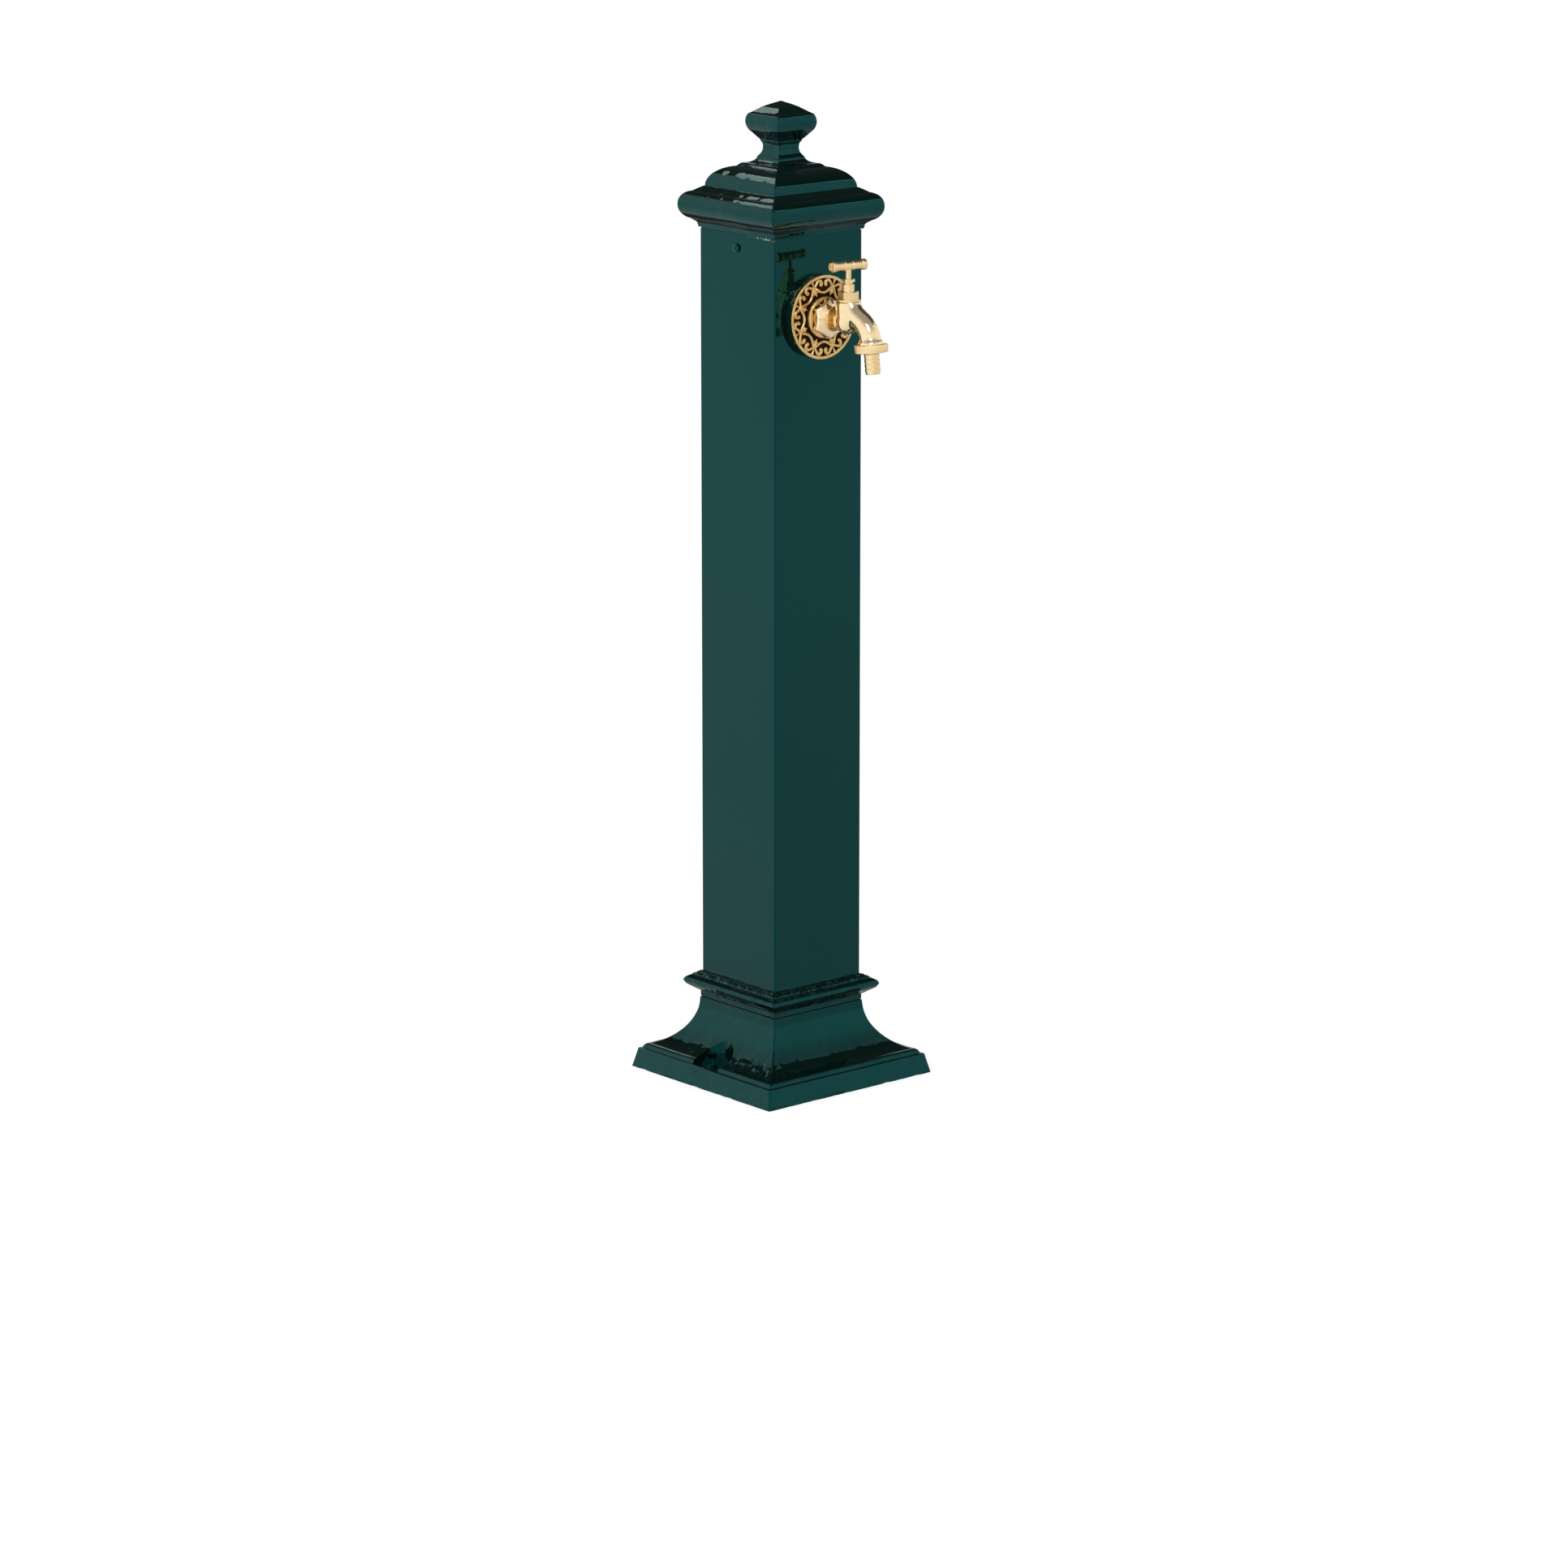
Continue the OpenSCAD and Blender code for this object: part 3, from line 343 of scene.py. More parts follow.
def finish_piece(ob, node, body="column", sharp=32):
    """Shades a piece, gives it the node's finish, and lets it stand for the node"""
    entry = [s for s in frame["record"]["subparts"] if s["node"] == node][0]
    ob.data.shade_smooth()
    ob.data.set_sharp_from_angle(angle=math.radians(sharp))
    give_finish(ob, entry)
    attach(ob, body)
    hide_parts(node)


def arc(x, z, rx, rz, a0, a1, steps):
    """Points of an elliptical arc between two angles in degrees"""
    turn = np.radians(np.linspace(a0, a1, steps + 1))
    return [(x + rx * math.cos(a), z + rz * math.sin(a)) for a in turn]


def soften(points, radius, steps=3, closed=True):
    """Rounds each corner of a profile over radius, as a cutter or a mould leaves it"""
    points = [np.array(p, float) for p in points]
    points = [p for i, p in enumerate(points) if i == 0 or np.linalg.norm(p - points[i - 1]) > 0.005]
    count = len(points)
    out = []
    for i, p in enumerate(points):
        if not closed and i in (0, count - 1):
            out.append(p)
            continue
        before, after = points[i - 1] - p, points[(i + 1) % count] - p
        long_b, long_a = np.linalg.norm(before), np.linalg.norm(after)
        turn = math.degrees(math.acos(np.clip(-before @ after / (long_b * long_a), -1, 1)))
        if turn < 14:
            out.append(p)
            continue
        r = min(radius, 0.4 * long_b, 0.4 * long_a)
        start, end = p + before / long_b * r, p + after / long_a * r
        for t in np.linspace(0, 1, steps + 1):
            out.append(start * (1 - t) ** 2 + p * 2 * t * (1 - t) + end * t ** 2)
    return out


def resample(points, step, closed=True):
    """Adds points so that no stretch of a profile is longer than step"""
    out = []
    last = len(points) if closed else len(points) - 1
    for i in range(last):
        a, b = np.array(points[i], float), np.array(points[(i + 1) % len(points)], float)
        pieces = max(1, int(math.ceil(np.linalg.norm(b - a) / step)))
        out += [a + (b - a) * k / pieces for k in range(pieces)]
    if not closed:
        out.append(np.array(points[-1], float))
    return np.array(out)


def ring_faces(rows, around, closed):
    """Quads between rows of points. Closed joins the last row to the first, and open caps both ends"""
    faces = []
    for i in range(rows if closed else rows - 1):
        a, b = i * around, (i + 1) % rows * around
        for k in range(around):
            n = (k + 1) % around
            faces.append((a + k, a + n, b + n, b + k))
    if not closed:
        faces.append(tuple(range(around - 1, -1, -1)))
        faces.append(tuple(range((rows - 1) * around, rows * around)))
    return faces


def square_loft(name, profile, corner, side_step, arc_steps=4, closed=True):
    """Square casting with rounded mitres, whose half width follows the profile"""
    half, z = profile[:, 0], profile[:, 1]
    corner = np.minimum(np.broadcast_to(corner, half.shape), half * 0.98)
    sides = max(1, int(round(2 * half.max() / side_step)))
    flat = np.linspace(-1, 1, sides + 1)[:-1]
    turn = np.linspace(-math.pi / 2, 0, arc_steps + 1)[:-1]
    run = (half - corner)[:, None]
    x = np.hstack([run * flat, run + corner[:, None] * np.cos(turn)])
    y = np.hstack([np.repeat(-half[:, None], sides, 1), -run + corner[:, None] * np.sin(turn)])
    xs, ys = [x, -y, -x, y], [y, x, -y, -x]
    points = np.stack([np.hstack(xs), np.hstack(ys), np.repeat(z[:, None], 4 * x.shape[1], 1)], -1)
    around = points.shape[1]
    return new_object(name, points.reshape(-1, 3), ring_faces(len(z), around, closed))


def turned(name, profile, steps=128, closed=True, place=None, flats=None, turn=0):
    """Turned piece from a profile of (radius, height). Rows with a flat distance are cut hexagonal"""
    angle = np.arange(steps) / steps * TAU
    points = []
    for i, (r, z) in enumerate(profile):
        reach = np.full(steps, float(r))
        if flats is not None and np.isfinite(flats[i]):
            off = (angle - turn) % (TAU / 6) - TAU / 12
            reach = np.minimum(reach, flats[i] / np.cos(off))
        height = np.full(steps, float(z))
        points.append(np.stack([reach * np.cos(angle), reach * np.sin(angle), height], -1))
    points = np.concatenate(points)
    if place is not None:
        points = points @ np.array(place.to_3x3()).T + np.array(place.translation)
    return new_object(name, points, ring_faces(len(profile), steps, closed))


def cast_surface(ob, layers, mask):
    """Moves the surface in and out a little, as sand moulding and many coats of paint leave it"""
    mesh = ob.data
    points = np.empty(len(mesh.vertices) * 3)
    normals = np.empty(len(mesh.vertices) * 3)
    mesh.vertices.foreach_get("co", points)
    mesh.vertices.foreach_get("normal", normals)
    points, normals = points.reshape(-1, 3), normals.reshape(-1, 3)
    amount = mask(points / MM)
    for i in np.nonzero(amount > 0)[0]:
        spot = Vector(points[i] / MM)
        offset = sum(height * noise.noise(spot / period + Vector((seed, 0, 0)))
                     for seed, (period, height) in enumerate(layers))
        points[i] += normals[i] * offset * amount[i] * MM
    mesh.vertices.foreach_set("co", points.ravel())
    mesh.update()


def cylinders(name, parts, steps=48):
    """One object of separate cylinders, each from a point to a point, with a radius at each end"""
    points, faces = [], []
    for start, end, r0, r1 in parts:
        start, end = Vector(start), Vector(end)
        turn = np.array((end - start).to_track_quat("Z", "Y").to_matrix())
        angle = np.arange(steps) / steps * TAU
        circle = np.stack([np.cos(angle), np.sin(angle), np.zeros(steps)], -1) @ turn.T
        base = len(points) * steps
        points += [circle * r0 + np.array(start), circle * r1 + np.array(end)]
        faces += [tuple(i + base for i in face) for face in ring_faces(2, steps, False)]
    return new_object(name, np.concatenate(points), faces)


def carve(ob, tool, operation):
    """Cuts or joins a tool object, and removes it"""
    modifier = ob.modifiers.new("carve", "BOOLEAN")
    modifier.object = tool
    modifier.operation = operation
    modifier.solver = "EXACT"
    apply_modifiers(ob)
    bpy.data.objects.remove(tool)


def apply_modifiers(ob):
    """Makes an object's evaluated shape its plain mesh"""
    bpy.context.view_layer.update()
    graph = bpy.context.evaluated_depsgraph_get()
    mesh = bpy.data.meshes.new_from_object(ob.evaluated_get(graph))
    ob.modifiers.clear()
    ob.data = mesh


# Repeats round an axis

# Points of neighbouring copies that are closer than this, in millimetres, become one
MERGE_GAP = 0.002


def ring_repeat_tree():
    """Repeats a piece round the Z axis, joins the copies, and sets them in place"""
    tree = bpy.data.node_groups.new("repeat round an axis", "GeometryNodeTree")
    for name, kind in (("Piece", "Geometry"), ("Count", "Int"), ("Place", "Vector"), ("Tilt", "Vector"),
                       ("Finish", "Material")):
        tree.interface.new_socket(name, in_out="INPUT", socket_type="NodeSocket" + kind)
    tree.interface.new_socket("Result", in_out="OUTPUT", socket_type="NodeSocketGeometry")
    given = add(tree, "NodeGroupInput").outputs
    line = add(tree, "GeometryNodeMeshLine", {"Count": given["Count"], "Offset": (0, 0, 0)})
    step = add(tree, OVER, (TAU, given["Count"]))
    angle = add(tree, TIMES, (add(tree, "GeometryNodeInputIndex"), step))
    turn = add(tree, "ShaderNodeCombineXYZ", {"Z": angle})
    copies = add(tree, "GeometryNodeInstanceOnPoints",
                 {"Points": line, "Instance": given["Piece"], "Rotation": turn})
    placed = add(tree, "GeometryNodeTransform",
                 {"Geometry": copies, "Translation": given["Place"], "Rotation": given["Tilt"]})
    real = add(tree, "GeometryNodeRealizeInstances", {"Geometry": placed})
    joined = add(tree, "GeometryNodeMergeByDistance", {"Geometry": real, "Distance": MERGE_GAP * MM})
    dressed = add(tree, "GeometryNodeSetMaterial", {"Geometry": joined, "Material": given["Finish"]})
    add(tree, "NodeGroupOutput", {"Result": dressed})
    return tree


RING_REPEAT = ring_repeat_tree()


def repeat_round(ob, count, place, tilt, finish):
    """Runs the repeat tree on an object and keeps the result as its mesh"""
    values = {"Count": count, "Place": place, "Tilt": tilt, "Finish": FINISHES[finish]}
    modifier = ob.modifiers.new("repeat", "NODES")
    modifier.node_group = RING_REPEAT
    for item in RING_REPEAT.interface.items_tree:
        if item.in_out == "INPUT" and item.name in values:
            modifier[item.identifier] = values[item.name]
    apply_modifiers(ob)


# Cast foot

FOOT_LAYERS = ((45, 0.5), (14, 0.14), (6, 0.06))
FOOT_HALF = 105.2
STEP_Z = 19.5
BEAD_HALF, BEAD_R = 93, 4.5
COVE_HALF, COVE_R = 57, 51.8
COVE_TURN = 71.07
ANCHOR_X, ANCHOR_Z = 89, STEP_Z
ANCHOR_R, BOSS_R = 4.5, 11
LUG_X, LUG_SIZE = 39.2, 9
GUIDE_SCREW_X = 37.7
TUBE_SCREW_Z = 87


def make_foot():
    """Cast foot: slanted band, step, bead and cove, hollow below, with a spigot into the tube"""
    bead = arc(BEAD_HALF, STEP_Z, BEAD_R, BEAD_R, 0, 90, 8)
    cove = arc(COVE_HALF + COVE_R, FOOT_TOP, COVE_R, COVE_R, 180 + COVE_TURN, 180, 30)
    outer = soften([(FOOT_HALF, 0), (100.8, 19.2), (97.5, STEP_Z)] + bead + cove, 0.6, 3, closed=False)
    inner = [(SPIGOT_OUT, FOOT_TOP), (SPIGOT_OUT, 101), (SPIGOT_IN, 101), (SPIGOT_IN, 51), (60, 25),
             (60, 9), (97.2, 9), (97.2, 0)]
    profile = np.array(list(resample(outer, 1.4, closed=False)) + inner)
    corner = np.where(profile[:, 0] > 56, 1.3, 0.8)
    ob = square_loft("foot_casting", profile, corner, 2.1)

    def mask(p):
        half = half_width(p)
        showing = (half > 56.5) & ((half > 98) | (p[:, 2] > 19.2))
        return showing * np.clip(p[:, 2] / 3, 0, 1) * np.clip((FOOT_TOP - p[:, 2]) / 4, 0, 1)

    def rough_low(p):
        """Rougher low on the cove, most of all in front on the left"""
        half = half_width(p)
        low = smooth(p[:, 2], 24.2, 25.5) * smooth(p[:, 2], 37, 30) * (half > 60)
        left = smooth(p[:, 0], -55, -75) * smooth(abs(p[:, 1]), 16, 22)
        return low * (0.08 + left * (0.25 + 0.75 * (p[:, 1] < 0)))

    cast_surface(ob, FOOT_LAYERS, mask)
    cast_surface(ob, ((7, 0.5), (3.4, 0.4)), rough_low)
    lift_edge(ob)
    joins, cuts = [], []
    for side in (-1, 1):
        x = side * ANCHOR_X
        joins.append(((x, 0, 0), (x, 0, 10), BOSS_R, BOSS_R))
        cuts.append(((x, 0, ANCHOR_Z), (x, 0, 90), 20.6, 21.6))
        cuts.append(((x, 0, -1), (x, 0, 22), ANCHOR_R, ANCHOR_R))
        x = side * GUIDE_SCREW_X
        cuts.append(((x, 0, 49), (x, 0, 63), SCREW_HOLE_R, SCREW_HOLE_R))
    up = Vector((0, 0, TUBE_SCREW_Z))
    for turn in range(4):
        way = Vector((math.sin(turn * TAU / 4), -math.cos(turn * TAU / 4), 0))
        cuts.append((way * 56 + up, way * 45 + up, SCREW_HOLE_R, SCREW_HOLE_R))
    corners = [((side * LUG_X - LUG_SIZE, -LUG_SIZE, 51), (side * LUG_X + LUG_SIZE, LUG_SIZE, 61))
               for side in (-1, 1)]
    lugs = new_object("lugs", *boxes(corners))
    carve(ob, lugs, "UNION")
    carve(ob, cylinders("bosses", joins), "UNION")
    carve(ob, cylinders("holes", cuts, 96), "DIFFERENCE")
    finish_piece(ob, "base_foot")


def lift_edge(ob):
    """Leaves the foot's lower edge uneven, where it doesn't quite touch the ground"""
    for vertex in ob.data.vertices:
        spot = vertex.co / MM
        if spot.z < 2 and max(abs(spot.x), abs(spot.y)) > FOOT_HALF - 1.2:
            vertex.co.z += max(0, noise.noise(spot / 13) * 1.5) * MM


def boxes(pairs):
    """Points and faces of boxes, each from its low corner to its high one"""
    points, faces = [], []
    for low, high in pairs:
        base = len(points)
        points += [(x, y, z) for z in (low[2], high[2]) for x, y in
                   ((low[0], low[1]), (high[0], low[1]), (high[0], high[1]), (low[0], high[1]))]
        faces += [tuple(base + i for i in face) for face in
                  ((3, 2, 1, 0), (4, 5, 6, 7), (0, 1, 5, 4), (1, 2, 6, 5), (2, 3, 7, 6), (3, 0, 4, 7))]
    return np.array(points, float), faces


# Collar and its bead

def make_collar():
    """Cast moulding ring round the bottom of the tube"""
    outline = [(55.3, FOOT_TOP), (55.9, FOOT_TOP), (55.9, 74), (56.5, 74), (56.5, 79), (59, 80.5),
               (67, 86.3), (69, 90), (67.5, 93), (63.5, 95.4), (55.3, 95.4)]
    profile = resample(soften(outline, 0.5, 3), 1.5)
    ob = square_loft("collar_casting", profile, 1.1, 1.8)

    def mask(p):
        return (half_width(p) > 56.2) * np.clip((p[:, 2] - 74) / 2, 0, 1)

    cast_surface(ob, ((30, 0.4), (9, 0.25), (3.5, 0.16)), mask)
    finish_piece(ob, "base_collar")


def make_bead():
    """Bead of filler between collar and tube, smoothed by hand and left uneven"""
    outline = [(55, 95.5), (63.2, 95.5), (62, 97.1), (59, 98.3), (56.4, 99.5), (55, 99.5)]
    profile = resample(soften(outline, 0.6, 3), 0.9)
    ob = square_loft("filler_bead", profile, 1.6, 1.2)

    def mask(p):
        return np.clip((half_width(p) - 55.4) / 1.5, 0, 1) * np.clip((p[:, 2] - 95.5) / 0.8, 0, 1)

    cast_surface(ob, ((12, 0.9), (4, 0.6), (2, 0.3)), mask)
    finish_piece(ob, "collar_bead", sharp=50)


# Cap and knob

CAP_LAYERS = ((40, 0.35), (13, 0.12), (6, 0.05))
ROLL_HALF, ROLL_Z, ROLL_R = 58.3, 23.5, 12.7
CROWN_Z = CROWN_TOP - TUBE_TOP


def make_cap():
    """Stepped square cap with a fat roll, hollow inside, with a skirt down into the tube"""
    inner = [(2, 58.2), (14, 58.2), (28, 52.2), (43.5, 42.7), (43.5, 37.7), (54.3, 27.5), (54.3, 19.5),
             (SPIGOT_IN, 9), (SPIGOT_IN, -25), (SPIGOT_OUT, -25), (SPIGOT_OUT, 0)]
    seam = [(54.3, 0), (54.3, 1.0), (56.6, 1.2), (57.3, 5.4), (58.6, 6.7)]
    roll_under = arc(ROLL_HALF, ROLL_Z, ROLL_R, 15, -72, 0, 22)
    roll_over = arc(ROLL_HALF, ROLL_Z, ROLL_R, ROLL_R, 4, 80, 20)
    dome = arc(27, 40.7, 24.9, 19.7, 0, 82, 26)
    crown = arc(26.5, CROWN_Z, 10, 5.9, 270, 180, 12)
    outer = (seam + roll_under + roll_over + [(56.3, 38.7), (52.8, 40.7)] + dome + [(28.7, 62.0)] + crown
             + [(2, CROWN_Z)])
    profile = np.array(inner + list(resample(soften(outer, 0.5, 3, closed=False), 1.5, closed=False)))
    roll = np.exp(-((profile[:, 1] - 25) / 6.5) ** 2) * (profile[:, 0] > 62)
    corner = np.where(profile[:, 0] > 15, 0.9 + 1.5 * roll, 0.3)
    profile[:, 1] += TUBE_TOP
    ob = square_loft("cap_body", profile, corner, 1.8)

    def mask(p):
        half = half_width(p)
        z = p[:, 2] - TUBE_TOP
        outside = ((half > 55.9) & (z >= 0)) | (z > 38.5) | ((half > 52) & (z > 37))
        hollow = (half < 44) & (z < 53)
        return (outside & ~hollow) * np.clip(z / 1.5, 0.15, 1) * np.clip((CROWN_Z - z) / 3, 0, 1)

    cast_surface(ob, CAP_LAYERS, mask)
    cuts = [((0, 0, 880), (0, 0, 912), STUD_HOLE_R, STUD_HOLE_R)]
    for side in (-1, 1):
        cuts.append(((side * 45, 0, SCREW_Z), (side * 56, 0, SCREW_Z), SCREW_HOLE_R, SCREW_HOLE_R))
    carve(ob, cylinders("cap holes", cuts), "DIFFERENCE")
    finish_piece(ob, "cap_casting")


def make_knob():
    """Square knob with a waisted neck and a low pyramid on top"""
    neck = [(1, 0), (16.5, 0)] + arc(17.4, 9.5, 5, 8.5, 235, 150, 14) + [(14.3, 15.4), (14.4, 16.6)]
    underside = [(16.9, 19.3)] + arc(17.5, 34.3, 7.1, 11.5, -63, 0, 16)
    shoulder = arc(17.5, 34.3, 7, 10, 6, 45, 10)
    pyramid = [(19.5, 43.1), (12.25, 48.1), (7.35, 50.5), (0.2, 53.4)]
    outline = neck + underside + shoulder + pyramid
    profile = resample(soften(outline, 0.7, 3, closed=False), 1.2, closed=False)
    corner = np.where(profile[:, 0] > 3, 1.0, 0.3)
    profile[:, 1] += CROWN_TOP
    ob = square_loft("knob", profile, corner, 1.3, closed=False)

    def mask(p):
        return np.clip((p[:, 2] - CROWN_TOP) / 2, 0, 1) * np.clip((CROWN_TOP + 53 - p[:, 2]) / 2, 0, 1)

    cast_surface(ob, ((30, 0.35), (11, 0.14), (5, 0.05)), mask)
    hole = cylinders("stud hole", [((0, 0, 900), (0, 0, CROWN_TOP + 23), STUD_HOLE_R, STUD_HOLE_R)])
    carve(ob, hole, "DIFFERENCE")
    finish_piece(ob, "cap_finial")


def make_cap_screws():
    """Two pan-head screws with a cross recess, half filled with paint"""
    outline = [(0.01, -8), (2.5, -8), (2.5, 0), (4.25, 0), (4.25, 1.2), (3.9, 1.9), (2.6, 2.45),
               (0.01, 2.6)]
    profile = soften(outline, 0.4, 3, closed=False)
    ob = turned("cap_screws_painted", profile, 48, False, Matrix.Rotation(TAU / 4, 4, "Y"))
    for y, z in ((1.9, 0.4), (0.4, 1.9)):
        slot = new_object("slot", *boxes([((2.0, -y, -z), (4, y, z))]))
        carve(ob, slot, "DIFFERENCE")
    for vertex in ob.data.vertices:
        vertex.co.x += TUBE_HALF * MM
    repeat_round(ob, 2, (0, 0, SCREW_Z * MM), (0, 0, 0), "painted_screws")
    finish_piece(ob, "cap_screws", sharp=40)


# Rosette

def distance_to_path(u, v, path, widths):
    """Signed distance to a stroke whose half width changes along its path"""
    best = np.full(u.shape, 99.0)
    for (a, wa), (b, wb) in zip(zip(path, widths), zip(path[1:], widths[1:])):
        a, b = np.array(a, float), np.array(b, float)
        along = b - a
        t = np.clip(((u - a[0]) * along[0] + (v - a[1]) * along[1]) / (along @ along), 0, 1)
        gap = np.hypot(u - a[0] - t * along[0], v - a[1] - t * along[1]) - (wa + (wb - wa) * t)
        best = np.minimum(best, gap)
    return best


def smooth_path(points, steps=6):
    """Smooth curve through the points"""
    p = [np.array(q, float) for q in points]
    p = [2 * p[0] - p[1]] + p + [2 * p[-1] - p[-2]]
    out = []
    for i in range(1, len(p) - 2):
        for t in np.arange(steps) / steps:
            out.append(0.5 * (2 * p[i] + (p[i + 1] - p[i - 1]) * t
                              + (2 * p[i - 1] - 5 * p[i] + 4 * p[i + 1] - p[i + 2]) * t ** 2
                              + (3 * p[i] - p[i - 1] - 3 * p[i + 1] + p[i + 2]) * t ** 3))
    return out + [p[-2]]


SCROLL_PATH = [(12.3, 28.7), (10.5, 30.0), (8.9, 32.3), (7.3, 34.6), (5.3, 35.4), (3.6, 34.6), (2.8, 33.2),
               (2.6, 32.2)]
SCROLL_WIDTHS = [1.6, 1.6, 1.7, 1.85, 1.95, 2.0, 2.0, 2.05]
HOLLOW_PATH = [(12.3, 28.7), (10.6, 28.2), (8.3, 27.2), (5.8, 25.6), (3.1, 24.2), (0, 23.7)]
HOLLOW_WIDTHS = [1.7, 1.65, 1.6, 1.6, 1.65, 1.7]
NODE_TURN = TAU / MOTIFS / 2
RIM_MID = (RIM_IN + RIM_OUT) / 2
HUB_R, HUB_FLAT_R = 20.2, 16.4
ROPE_TURNS = 48


def rosette_height(radius, angle):
    """Height of the rosette's face over its ground, for one motif centred on angle zero"""
    u, v = radius * np.sin(np.abs(angle)), radius * np.cos(angle)
    # The same place, seen from the line between two motifs
    tilt = np.abs(angle) - NODE_TURN
    nu, nv = radius * np.sin(tilt), radius * np.cos(tilt)
    strokes = [(u, v, *widened(SCROLL_PATH, SCROLL_WIDTHS)),
               (u, v, *widened(HOLLOW_PATH, HOLLOW_WIDTHS)),
               (u, v, [(2.7, 32.4), (3.0, 31.2)], [2.05, 2.3]),
               (nu, nv, [(0, 28.6), (0, 25.6), (0, 21.9)], [1.5, 2.0, 0.5]),
               (nu, nv, [(0, 27.2), (-2.5, 24.8)], [1.4, 0.8]),
               (nu, nv, [(0, 37.6), (0, 32.6)], [1.7, 0.5])]
    gap = np.min([distance_to_path(*stroke) for stroke in strokes], axis=0)
    relief = RELIEF_H * (0.7 * smooth(gap, 0.3, -0.4) + 0.3 * smooth(gap, 0.1, -1.6))
    groove = (angle / (TAU / ROPE_TURNS) + (radius - RIM_MID) * 0.2) % 1
    rope = 0.16 * np.exp(-((groove - 0.5) / 0.2) ** 2) + 0.1 * np.cos(angle * 24)
    crown = 0.35 * ((radius - RIM_MID) / (RIM_OUT - RIM_MID)) ** 2
    rim = (RELIEF_H - rope - crown) * smooth(radius, RIM_IN - 0.25, RIM_IN + 0.35)
    hub = (RELIEF_H - 0.3) * smooth(radius, HUB_R + 0.25, HUB_R - 0.45)
    swell = np.clip((radius - HUB_FLAT_R) / (HUB_R - HUB_FLAT_R), 0, 1)
    dome = (HUB_RISE + 0.3) * np.sqrt(1 - swell ** 2)
    hub += np.where(radius < HUB_R, dome * smooth(radius, HUB_R + 0.2, HUB_R - 0.4), 0)
    return np.maximum(np.maximum(relief, rim), hub)


def widened(path, widths):
    """Curve through a path, and the half width at each of its points"""
    curve = smooth_path(path)
    return curve, np.interp(np.linspace(0, 1, len(curve)), np.linspace(0, 1, len(widths)), widths)


def make_rosette():
    """Round scroll rosette: one eighth as a fine relief, repeated round the tap's axis"""
    across = 76
    angle = np.linspace(-NODE_TURN, NODE_TURN, across)
    front_r = np.concatenate([[ROSETTE_BORE_R, 14, HUB_FLAT_R], np.linspace(16.9, RIM_OUT - 0.35, 84)])
    r_grid, a_grid = np.meshgrid(front_r, angle, indexing="ij")
    height = GROUND_T + rosette_height(r_grid, a_grid)
    height = np.minimum(height, GROUND_T + RELIEF_H + HUB_RISE)
    rows = list(zip(r_grid, height))
    top = height[-1]
    for r, drop in [(RIM_OUT - 0.12, -0.25)] + [(RIM_OUT, -down) for down in (0.6, 2.2, 4.2, 6.2)]:
        rows.append((np.full(across, r), top + drop))
    for r in (RIM_OUT, ROSETTE_BORE_R):
        rows.append((np.full(across, r), np.zeros(across)))
    points = np.concatenate([np.stack([-r * np.sin(angle), r * np.cos(angle), h], -1) for r, h in rows])
    faces = []
    for i in range(len(rows)):
        a, b = i * across, (i + 1) % len(rows) * across
        faces += [(a + k, b + k, b + k + 1, a + k + 1) for k in range(across - 1)]
    ob = new_object("rosette_relief", points, faces)
    repeat_round(ob, MOTIFS, (0, WALL_Y * MM, TAP_Z * MM), (TAU / 4, 0, 0), "relief_brass")
    finish_piece(ob, "rosette", sharp=60)


# Tap body

def smooth_min(a, b, k):
    """Union of two distance fields, with a fillet about k wide"""
    h = np.clip(k - np.abs(a - b), 0, None) / k
    return np.minimum(a, b) - h * h * k / 4


def smooth_max(a, b, k):
    """Overlap of two distance fields, with their edge rounded"""
    return -smooth_min(-a, -b, k)


def tube_field(p, start, end, r):
    """Distance to a straight tube with round ends"""
    start, end = np.array(start, float), np.array(end, float)
    along = end - start
    t = np.clip((p - start) @ along / (along @ along), 0, 1)
    return np.linalg.norm(p - start - t[:, None] * along, axis=1) - r


def drum_field(p, axis, centre, low, high, r, k=0.8):
    """Rounded cylinder along an axis number, through a centre given on the other two axes"""
    others = [i for i in range(3) if i != axis]
    gap = np.hypot(p[:, others[0]] - centre[0], p[:, others[1]] - centre[1]) - r
    return smooth_max(smooth_max(gap, low - p[:, axis], k), p[:, axis] - high, k)


BEND = np.array([-106.51, 739.99])
BEND_R = 24
SPOUT_ROOT = (0, BARREL_Y, 771.7)
SPOUT_FALL = math.radians(28)
SPOUT_RUN = 22.4
SPOUT_START = math.radians(118)
SPOUT_END = math.radians(173)
BARREL_R, NECK_R, SPOUT_R, FLARE_R, TAIL_R = 11.75, 10.25, 10.1, 12.6, 10.48
FLANGE_HALF = 17.5


def spout_field(p, r, start=0.0):
    """Spout: a straight run from the barrel, then a bend down to the outlet"""
    way = np.array([0, -math.cos(SPOUT_FALL), -math.sin(SPOUT_FALL)])
    root = np.array(SPOUT_ROOT)
    run = tube_field(p, root + way * start, root + way * SPOUT_RUN, r)
    turn = np.arctan2(p[:, 2] - BEND[1], p[:, 1] - BEND[0])
    turn = np.where(turn < -math.pi / 2, turn + TAU, turn)
    turn = np.clip(turn, SPOUT_START, SPOUT_END)
    y, z = BEND[0] + BEND_R * np.cos(turn), BEND[1] + BEND_R * np.sin(turn)
    bend = np.linalg.norm(p - np.stack([np.zeros(len(p)), y, z], -1), axis=1) - r
    return np.minimum(run, bend)


